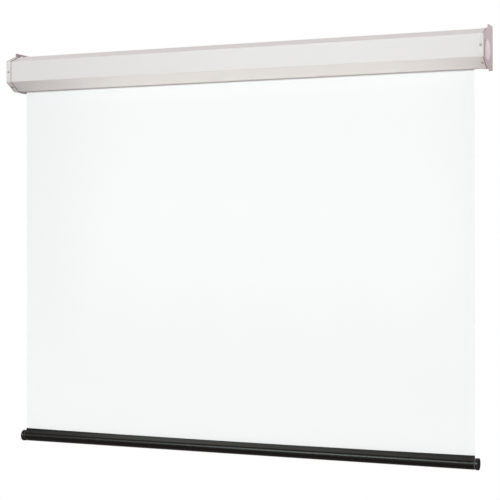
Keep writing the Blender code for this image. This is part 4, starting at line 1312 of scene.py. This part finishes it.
@dataclass
class ScreenCloth:
    """The white sheet and the turns of it that stay on the roller."""

    curl: float = 0.0012  # how far the side edges curl back
    curl_power: float = 24.0  # how close to the edges the curl stays
    wave: float = 0.0006  # height of the faint upright waves
    wave_length: float = 0.31  # their length across the sheet
    across: int = 170  # cells across the sheet
    down: int = 90  # cells down the sheet
    turns: float = 1.6  # turns left on the roller
    roller_radius: float = 0.0190  # radius of the roller's tube
    steps_per_turn: int = 96  # how many flats a turn has

    def __post_init__(self) -> None:
        """Reads the sheet's place from the frame."""
        self.low, self.high = (Vector(corner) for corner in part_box("screen_sheet"))

    def build(self) -> Piece:
        """Makes the sheet and the wound turns.

        Returns:
            The sheet, which gets a mesh of its own when its hem is made.
        """
        tree = ShapeTree("screen_sheet_tree", {
            "Width": self.high.x - self.low.x, "Drop": self.high.z - self.low.z, "Thickness": CLOTH,
            "Curl": self.curl, "Wave": self.wave, "Wave Length": self.wave_length,
            "Cells Across": self.across, "Cells Down": self.down,
        })
        flat = self.flat_grid(tree)
        offset = tree.vector(z=self.lift(tree))
        bent = tree.add("GeometryNodeSetPosition", {"Geometry": flat, "Offset": offset}).outputs[0]
        middle = (self.low + self.high) / 2
        upright = tree.move(bent, Rotation=(math.pi / 2, 0.0, 0.0),
                            Translation=(middle.x, middle.y + CLOTH / 2, middle.z))
        forward = tree.vector(y=tree.product(tree.size("Thickness"), -1.0))
        values = {"Mesh": upright, "Offset": forward, "Offset Scale": 1.0, "Individual": False}
        front = tree.add("GeometryNodeExtrudeMesh", values).outputs["Mesh"]
        back = tree.add("GeometryNodeFlipFaces", {"Mesh": upright}).outputs[0]
        both = [tree.painted(front, SCREEN_WHITE), tree.painted(back, SCREEN_BACK)]
        joined = tree.add("GeometryNodeJoinGeometry", {"Geometry": both}).outputs[0]
        values = {"Geometry": joined, "Distance": MERGE}
        tree.close(tree.add("GeometryNodeMergeByDistance", values).outputs[0])
        sheet = hand_over(tree.make("projection_sheet"), "housing", [], ["screen_sheet"])
        self.wind(self.high.x)
        return sheet

    def flat_grid(self, tree: ShapeTree) -> Socket:
        """Makes the flat sheet with its UV map in metres.

        Args:
            tree: The sheet's tree.

        Returns:
            The grid.
        """
        values = {"Size X": tree.size("Width"), "Size Y": tree.size("Drop"),
                  "Vertices X": tree.size("Cells Across"), "Vertices Y": tree.size("Cells Down")}
        grid = tree.add("GeometryNodeMeshGrid", values)
        metres = {0: grid.outputs["UV Map"], 1: tree.vector(tree.size("Width"), tree.size("Drop"))}
        flat = tree.add("ShaderNodeVectorMath", metres, operation="MULTIPLY").outputs[0]
        values = {"Geometry": grid.outputs["Mesh"], "Name": UV_NAME}
        stored = tree.add("GeometryNodeStoreNamedAttribute", values, data_type="FLOAT2", domain="CORNER")
        tree.feed(next(socket for socket in stored.inputs if socket.name == "Value" and socket.enabled), flat)
        return stored.outputs[0]

    def lift(self, tree: ShapeTree) -> Socket:
        """Works out the waves and the curled edges, which fade toward the upper and lower edge.

        Args:
            tree: The sheet's tree.

        Returns:
            How far a point is moved off the flat sheet.
        """
        place = tree.axes(tree.add("GeometryNodeInputPosition").outputs[0])
        half_drop = tree.math("DIVIDE", tree.size("Drop"), 2.0)
        fade = tree.math("SUBTRACT", 1.0, tree.math("POWER", tree.math("DIVIDE", place["Y"], half_drop), 2.0))
        half_width = tree.math("DIVIDE", tree.size("Width"), 2.0)
        reach = tree.math("DIVIDE", tree.math("ABSOLUTE", place["X"]), half_width)
        curl = tree.product(tree.math("POWER", reach, self.curl_power), tree.size("Curl"))
        turn = tree.product(tree.math("DIVIDE", place["X"], tree.size("Wave Length")), math.tau)
        wave = tree.product(tree.math("SINE", turn), tree.size("Wave"))
        return tree.product(tree.math("SUBTRACT", wave, curl), fade)

    def wind(self, half: float) -> None:
        """Winds the turns that stay on the roller, ending above the sheet.

        Args:
            half: Half the fabric's width.
        """
        _, y, z = middle_of("roller_tube")
        steps = round(self.steps_per_turn * self.turns)
        outer, inner = [], []
        for step in range(steps + 1):
            turn = self.turns * step / steps
            near = self.roller_radius + GAP + (CLOTH + GAP) * (self.turns - turn)
            angle = math.tau * turn
            for path, radius in ((inner, near), (outer, near + CLOTH)):
                path.append((y + radius * math.cos(angle), z + radius * math.sin(angle)))
        wound = wall_between("fabric_turns", [(-half, outer, inner), (half, outer, inner)], True)
        hand_over(wound, "roller", [SCREEN_BACK, SCREEN_WHITE], ["wound_fabric"])

    def hang(self, sheet: Piece) -> None:
        """Gives the sheet a mesh of its own.

        Args:
            sheet: The sheet.
        """
        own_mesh(sheet)


@dataclass
class BottomBar:
    """The tube in the sheet's lower edge, its black pocket and its two caps."""

    wall: float = 0.0012  # the tube's wall
    mouth_round: float = 0.0003  # rounding of the tube's mouth
    above_tube: float = 0.0072  # how far the pocket rises above the tube
    weld_strip: float = 0.0015  # height of the strip that is welded to the sheet
    sag: float = 0.0006  # how much lower the pocket's top edge lies in the middle than the frame has it
    lift: float = 0.0024  # how much higher it lies at its ends
    crease_angle: float = math.radians(146.0)  # where round the bar the turned-over edge ends, on its front
    fold_over: float = 0.0011  # how far that edge stands proud
    cap_round: float = 0.0015  # rounding of the caps
    cap_dome: float = 0.0006  # how far a cap's end face is domed
    cap_step: float = 0.0005  # rounding of a cap's step on the tube
    plug_edge: float = 0.001  # bevel of a cap's plug
    rim_lean: float = 0.8  # the lean toward the end, as a share, up to which a cap's face is smooth rim
    stations: int = 72  # how many lengths the pocket is made of
    steps: int = 96  # how many flats it has round the tube
    rib_pitch: float = 0.0034  # distance between the weld's ribs
    rib_width: float = 0.0008  # half width of a rib
    rib_height: float = 0.0004  # half height of a rib
    rib_rise: float = 0.00022  # how far a rib stands out
    screw: PanScrew = PanScrew(head_radius=0.0032, head_height=0.0018, shank_radius=0.0016, length=0.0085)
    screw_spacing: float = 0.050  # distance between the saddle's screws
    screw_angle: float = math.radians(-2.0)  # where round the bar the screws stand, from straight behind
    saddle_thickness: float = 0.0030
    hole_steps: int = 20  # how many flats go round the screws' holes

    def __post_init__(self) -> None:
        """Reads the bar's place from the frame, and finds where the pocket leaves the bar."""
        low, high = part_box("bar_tube")
        self.radius = (high[2] - low[2]) / 2
        self.axis = axis_of("bar_tube")
        self.half_length = high[0]
        self.pocket_radius = self.radius + GAP + CLOTH / 2
        self.apex = self.radius + self.above_tube - self.weld_strip
        self.lean = math.acos(self.pocket_radius / self.apex)
        outward = Vector((0.0, math.cos(self.screw_angle), math.sin(self.screw_angle)))
        place = self.axis + outward * (self.pocket_radius + CLOTH / 2 + GAP + self.saddle_thickness)
        half = Vector((self.screw_spacing / 2, 0.0, 0.0))
        self.screw_seats = [Seat(place + half * sign, outward) for sign in (-1, 1)]

    def build(self) -> None:
        """Makes the tube, the pocket with its weld, the caps and the saddle's screws."""
        end, inner, lip = self.half_length, self.radius - self.wall, self.mouth_round
        tube = turned("bar_tube_drawn", [
            (-end + lip, inner), (-end, inner + lip), *arc(-end, self.radius, -lip, 2)[::-1],
            *arc(end, self.radius, lip, 2), (end, inner + lip), (end - lip, inner),
        ], self.axis, ring=True, steps=128)
        self.screw.bore_for(tube, self.screw_seats, self.hole_steps)
        hand_over(tube, "bar", [BAR_BLACK], ["bar_tube"])
        self.build_pocket()
        for side in Side:
            self.build_cap(side)
        screws = self.screw.build("saddle_screws", self.screw_seats)
        hand_over(screws, "bar", [], ["saddle_screw_1", "saddle_screw_2"])

    def edge_shift(self, share: float) -> float:
        """Returns how far the pocket's top edge is lifted at a share of the half width."""
        return (self.sag + self.lift) * share * share - self.sag

    def pocket_path(self, shift: float) -> Path:
        """Follows the pocket's middle line, from its front top edge under the bar to its rear.

        Args:
            shift: How far the top edge is lifted.

        Returns:
            The middle line.
        """
        start, end = math.pi / 2 + self.lean, math.pi / 2 - self.lean + math.tau
        front = -(CLOTH + GAP)
        path = [(front, self.apex + self.weld_strip + shift), (front, self.apex)]
        for step in range(self.steps + 1):
            angle = start + (end - start) * step / self.steps
            path.append((self.pocket_radius * math.cos(angle), self.pocket_radius * math.sin(angle)))
        path.append((0.0, self.apex - 3 * GAP))
        return [(self.axis.y + y, self.axis.z + z) for y, z in path]

    def outer_path(self, path: Path) -> Path:
        """Follows the pocket's outer face, which stands proud above the crease on its front.

        Args:
            path: The pocket's middle line.

        Returns:
            The outer face's path.
        """
        start = math.pi / 2 + self.lean
        result = []
        for y, z in offset_path(path, -CLOTH / 2):
            away = Vector((y - self.axis.y, z - self.axis.z))
            angle = math.atan2(away.y, away.x) % math.tau
            share = (angle - start) / (self.crease_angle - start)
            if 0 < share <= 1:
                away += away.normalized() * self.fold_over * math.sqrt(share)
            result.append((self.axis.y + away.x, self.axis.z + away.y))
        return result

    def build_pocket(self) -> None:
        """Makes the pocket and the ribs that the welding bar leaves along its top edge."""
        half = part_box("hem_pocket")[1][0]
        stations = []
        for station in range(self.stations + 1):
            share = 2 * station / self.stations - 1
            path = self.pocket_path(self.edge_shift(share))
            stations.append((half * share, self.outer_path(path), offset_path(path, CLOTH / 2)))
        pocket = wall_between("hem_pocket_cloth", stations)
        self.screw.bore_for(pocket, self.screw_seats, self.hole_steps)
        hand_over(pocket, "bar", [HEM_BLACK], ["hem_pocket"])
        count = int(2 * half / self.rib_pitch)
        y = self.axis.y - (CLOTH + GAP) - CLOTH / 2
        seats = []
        for index in range(count):
            x = (index - (count - 1) / 2) * self.rib_pitch
            z = self.axis.z + self.apex + (self.weld_strip + self.edge_shift(x / half)) / 2
            seats.append(Seat(Vector((x, y, z)), Vector((0.0, -1.0, 0.0))))
        sizes = {"Rib Width": self.rib_width, "Rib Height": self.rib_height, "Rib Rise": self.rib_rise}
        tree = ShapeTree("weld_tree", sizes)
        ball = tree.add("GeometryNodeMeshUVSphere", {"Segments": 8, "Rings": 4, "Radius": 1.0}).outputs[0]
        scale = tree.vector(*(tree.size(label) for label in sizes))
        tree.close(tree.on_seats(tree.move(ball, Scale=scale)), HEM_BLACK)
        ribs = hand_over(tree.make("hem_weld_ribs", seats), "bar")

    def build_cap(self, side: Side) -> None:
        """Makes a cap with a slightly domed end and a moulded step.

        Args:
            side: The end that it closes.
        """
        node = f"bar_cap_{side.label}"
        low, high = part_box(node)
        plug_end, end = ends_of(node)
        radius = (high[2] - low[2]) / 2
        start = self.half_length + GAP
        plug = self.radius - self.wall - GAP
        profile = [
            *domed(end, self.cap_dome, radius - self.cap_round, 6),
            *arc(end - self.cap_dome, radius, self.cap_round)[::-1], *arc(start, radius, -self.cap_step, 3),
            (start, plug), (plug_end + self.plug_edge, plug), (plug_end, plug - self.plug_edge),
            (plug_end, 0.0),
        ]
        cap = turned(f"{node}_moulded", [(side.value * x, r) for x, r in profile], self.axis)
        for face in cap.data.polygons:
            face.material_index = int(abs(face.normal.x) < self.rim_lean)
        hand_over(cap, "bar", [CAP_BLACK, RIM_BLACK], [node])


@dataclass
class PullHandle:
    """The pull handle, folded up behind the bar."""

    wire: float = 0.0025  # radius of the bail's wire
    corner: float = 0.009
    corner_steps: int = 14  # how many straight pieces a corner has
    foot_turn: float = 0.003  # radius of the turn into its feet
    foot_steps: int = 10  # how many straight pieces that turn has
    foot_inside: float = 0.0076  # how far a foot reaches inward from its leg
    saddle_edge: float = 0.0005  # rounding of the saddle's edges
    grip_radius: float = 0.0044
    grip_round: float = 0.001  # rounding of the grip's ends
    grip_ribs: int = 15  # number of ribs moulded round the grip
    rib_depth: float = 0.00035  # depth of the grooves between them
    rib_steps: int = 8  # how many straight pieces a rib has
    ribbed_share: float = 0.8  # how much of the grip's length is ribbed

    def build(self) -> None:
        """Makes the saddle, the bail and the grip."""
        saddle = node_copy("handle_saddle", "handle_saddle_moulded")
        soften(saddle, self.saddle_edge)
        hand_over(saddle, "bar", [CAP_BLACK], ["handle_saddle"])
        low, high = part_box("handle_bail")
        y, pivot_z, bar_z = (low[1] + high[1]) / 2, low[2] + self.wire, high[2] - self.wire
        self.build_bail(high[0] - self.wire, y, pivot_z, bar_z)
        self.build_grip(y, bar_z)

    def build_bail(self, half: float, y: float, pivot_z: float, bar_z: float) -> None:
        """Bends the wire.

        Args:
            half: Half the width between the legs' middles.
            y: The bail's plane.
            pivot_z: Height of the pivots.
            bar_z: Height of the cross bar.
        """
        foot = half - self.foot_inside
        flat = [(-foot, pivot_z), (-half, pivot_z), (-half, bar_z), (half, bar_z), (half, pivot_z),
                (foot, pivot_z)]
        left = rounded_path(flat[:3], self.foot_turn, self.foot_steps)[:-1]
        top = rounded_path(flat[1:5], self.corner, self.corner_steps)[1:-1]
        right = rounded_path(flat[3:], self.foot_turn, self.foot_steps)[1:]
        curve = bpy.data.curves.new("bail_wire", "CURVE")
        curve.dimensions = "3D"
        curve.bevel_depth = self.wire
        curve.bevel_resolution = 6
        curve.use_fill_caps = True
        line = curve.splines.new("POLY")
        points = left + top + right
        line.points.add(len(points) - 1)
        for knot, (x, z) in zip(line.points, points):
            knot.co = (x, y, z, 1.0)
        bail = made_piece(placed("bail_wire", curve), "handle_bail_wire")
        hand_over(bail, "handle", [WIRE_BLACK], ["handle_bail"])

    def build_grip(self, y: float, z: float) -> None:
        """Makes the ribbed grip on the cross bar.

        Args:
            y: Its axis.
            z: Height of its axis.
        """
        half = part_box("handle_grip")[1][0]
        bore_radius = self.wire + GAP
        steps = self.grip_ribs * self.rib_steps
        ribbed = self.ribbed_share * half
        profile = [(-half, bore_radius), *arc(-half, self.grip_radius, -self.grip_round, 4)[::-1]]
        for step in range(steps + 1):
            share = step / steps
            groove = self.rib_depth * (0.5 - 0.5 * math.cos(math.tau * self.grip_ribs * share))
            profile.append((-ribbed + 2 * ribbed * share, self.grip_radius - groove))
        profile += [*arc(half, self.grip_radius, self.grip_round, 4), (half, bore_radius)]
        grip = turned("handle_grip_ribbed", profile, Vector((0.0, y, z)), ring=True, steps=40)
        hand_over(grip, "handle", [CAP_BLACK], ["handle_grip"])


@dataclass
class RollerWorks:
    """The roller, its spring, ratchet and brackets, which are inside the case."""

    screw: PanScrew = PanScrew(head_radius=0.0040, head_height=0.0020, shank_radius=0.0020, length=0.0080)
    screw_offset: float = 0.0225  # the screws' distance above and below the roller's axis

    def build(self) -> None:
        """Dresses the inner nodes and makes the brackets' screws."""
        dress(ZINC, "roller_bracket_left", "roller_bracket_right", "ratchet_disc", "pawl_pin_1", "pawl_pin_2")
        dress(SHAFT_STEEL, "spear_shaft", "idle_pin", "pawl_1", "pawl_2")
        dress(SPRING_STEEL, "torsion_spring")
        dress(NYLON, "idle_bush", "spring_anchor", "spring_end_plug", "idle_end_plug")
        dress(ROLLER_ALUMINIUM, "roller_tube")
        dress(BATTEN_GREY, "fabric_batten")
        _, y, z = middle_of("roller_tube")
        seats, names = [], []
        for side in Side:
            x = side.value * ends_of(f"end_cap_{side.label}")[1]
            for place, offset in (("upper", self.screw_offset), ("lower", -self.screw_offset)):
                seats.append(Seat(Vector((x, y, z + offset)), Vector((side.value, 0.0, 0.0))))
                names.append(f"bracket_screw_{side.label}_{place}")
        hand_over(self.screw.build("bracket_screws", seats), "housing", [], names)


# Studio


@dataclass(frozen=True)
class Lamp:
    """A lamp. One without a size is so far off that its light is even over the whole object."""

    name: str
    toward: Triple  # the way its light goes
    power: float  # in watts, or what a far lamp gives to a surface that faces it
    colour: Triple
    spread: float = math.pi  # the angle that its light fans out to, or that a far lamp seems to have
    place: Triple = (0.0, 0.0, 0.0)
    size: tuple[float, float] | None = None  # its level side and its other side

    def build(self) -> None:
        """Makes the lamp, which the camera doesn't see itself."""
        light = bpy.data.lights.new(self.name, "AREA" if self.size else "SUN")
        light.energy = self.power
        light.color = self.colour
        lamp = placed(self.name, light)
        lamp.location = self.place
        lamp.rotation_euler = Vector(self.toward).to_track_quat("-Z", "Y").to_euler()
        if self.size:
            light.shape = "RECTANGLE"
            light.size, light.size_y = self.size
            light.spread = self.spread
            lamp.visible_camera = False
        else:
            light.angle = self.spread


FRONT_LIGHT = {"power": 0.985, "spread": math.radians(10.0), "colour": (0.90, 1.05, 1.025)}
LAMPS = (
    Lamp("front_lamp_low", toward=(0.345, 0.939, -0.28), **FRONT_LIGHT),
    Lamp("front_lamp_high", toward=(0.345, 0.939, -0.42), **FRONT_LIGHT),
    Lamp("rear_lamp", toward=(0.7, -0.7, -0.05), power=1.4, spread=math.radians(20.0),
         colour=(0.90, 1.04, 0.98)),
    Lamp("low_lamp", place=(0.1, -2.6, -2.05), toward=(0.0, 2.6, 1.55), size=(2.4, 0.3), power=5.2,
         colour=(1.0, 0.98, 1.0)),
    Lamp("strip_lamp", place=(0.12, -0.40, -2.05), toward=(0.0, 0.30, 2.0), size=(1.50, 0.12), power=0.62,
         colour=(1.0, 0.98, 0.885), spread=math.radians(18.0)),
    Lamp("side_lamp", place=(2.6, -0.15, 0.25), toward=(-1.7, 0.09, -0.19), size=(0.15, 0.15), power=0.043,
         colour=(1.0, 0.97, 0.98), spread=math.radians(12.0)),
)


@dataclass
class Viewpoint:
    """The camera's place and turn, found from the straight edges of the object."""

    place: Triple = (1.9017, -4.4400, -0.6304)
    yaw: float = math.radians(22.857)  # its turn to the left of the wall's normal
    pitch: float = math.radians(0.232)  # its tilt upward
    roll: float = math.radians(-0.0525)  # its turn about its own axis
    lens: float = 97.46  # focal length for the sensor's width
    sensor: float = 36.0  # that width, in millimetres like the lens
    shift_x: float = -0.0003  # how far the frame is moved to the right, as a share of its width
    shift_y: float = -0.0302  # how far it is moved up, as a share of its width

    def build(self) -> None:
        """Makes the camera."""
        forward = Vector((-math.sin(self.yaw) * math.cos(self.pitch),
                          math.cos(self.yaw) * math.cos(self.pitch), math.sin(self.pitch)))
        level = Vector((math.cos(self.yaw), math.sin(self.yaw), 0.0))
        upright = level.cross(forward)
        right = math.cos(self.roll) * level + math.sin(self.roll) * upright
        up = math.cos(self.roll) * upright - math.sin(self.roll) * level
        data = bpy.data.cameras.new("camera")
        data.lens = self.lens
        data.sensor_width = self.sensor
        data.shift_x = self.shift_x
        data.shift_y = self.shift_y
        camera = placed("camera", data)
        turn = Matrix((right, up, -forward)).transposed().to_4x4()
        camera.matrix_world = Matrix.Translation(self.place) @ turn
        bpy.context.scene.camera = camera


@dataclass
class Studio:
    """The floor, the lamps, the pale surroundings and the camera."""

    level: Triple = (0.321, 0.231, 0.272)  # the surroundings' light from the sides and from below
    overhead: Triple = (0.34, 0.29, 0.23)  # what their light gains toward the top
    aside: Triple = (0.325, 0.18, 0.245)  # their light straight from the right, which is dimmer
    floor_z: float = -2.15
    floor_half_width: float = 6.0
    floor_front: float = -7.0  # Y of its front edge
    floor_rear: float = 2.0  # Y of its rear edge, which ends before it would show in the main view

    def build(self) -> None:
        """Makes everything round the object."""
        self.build_surroundings()
        self.build_floor()
        for lamp in LAMPS:
            lamp.build()
        Viewpoint().build()
        bpy.context.scene.view_settings.view_transform = "Standard"
        LOG.info("studio: floor, lamps, surroundings and camera")

    def build_surroundings(self) -> None:
        """Makes a world that lights softly, and is white to the camera, in gloss and through glass."""
        world = bpy.data.worlds.new("studio_world")
        bpy.context.scene.world = world
        world.use_nodes = True
        world.node_tree.nodes.clear()
        graph = Graph(world.node_tree)
        ray = graph.add("ShaderNodeLightPath").outputs
        seen = graph.math("MAXIMUM", ray["Is Camera Ray"], ray["Is Glossy Ray"])
        seen = graph.math("MAXIMUM", seen, ray["Is Transmission Ray"])
        way = graph.axes(graph.add("ShaderNodeTexCoord").outputs["Generated"])
        top = tuple(low + gain for low, gain in zip(self.level, self.overhead))
        colour = graph.blend(graph.math("MAXIMUM", way["Z"], 0.0), self.level, top)
        colour = graph.blend(graph.math("MAXIMUM", way["X"], 0.0), colour, self.aside)
        soft, white = (graph.add("ShaderNodeBackground", {"Color": tint, "Strength": 1.0}).outputs[0]
                       for tint in (colour, opaque(WHITE)))
        mixed = graph.add("ShaderNodeMixShader", {0: seen, 1: soft, 2: white}).outputs[0]
        graph.add("ShaderNodeOutputWorld", {"Surface": mixed})

    def build_floor(self) -> None:
        """Makes the pale floor."""
        half, front, rear = self.floor_half_width, self.floor_front, self.floor_rear
        shape = bmesh.new()
        corners = [(-half, front), (half, front), (half, rear), (-half, rear)]
        shape.faces.new([shape.verts.new((x, y, self.floor_z)) for x, y in corners])
        floor = new_piece("studio_floor", shape)
        floor.data.materials.append(FLOOR_PAINT.material())


def main() -> None:
    """Builds the sub-assemblies in order, then the studio."""
    logging.basicConfig(level=logging.INFO, format="%(name)s: %(message)s")
    section = CaseSection()
    Case(section).build()
    for side in Side:
        EndCap(side, section).build()
        RoundCover(side).build()
    RollerWorks().build()
    cloth = ScreenCloth()
    sheet = cloth.build()
    BottomBar().build()
    PullHandle().build()
    cloth.hang(sheet)
    Studio().build()


if __name__ == "__main__":
    main()
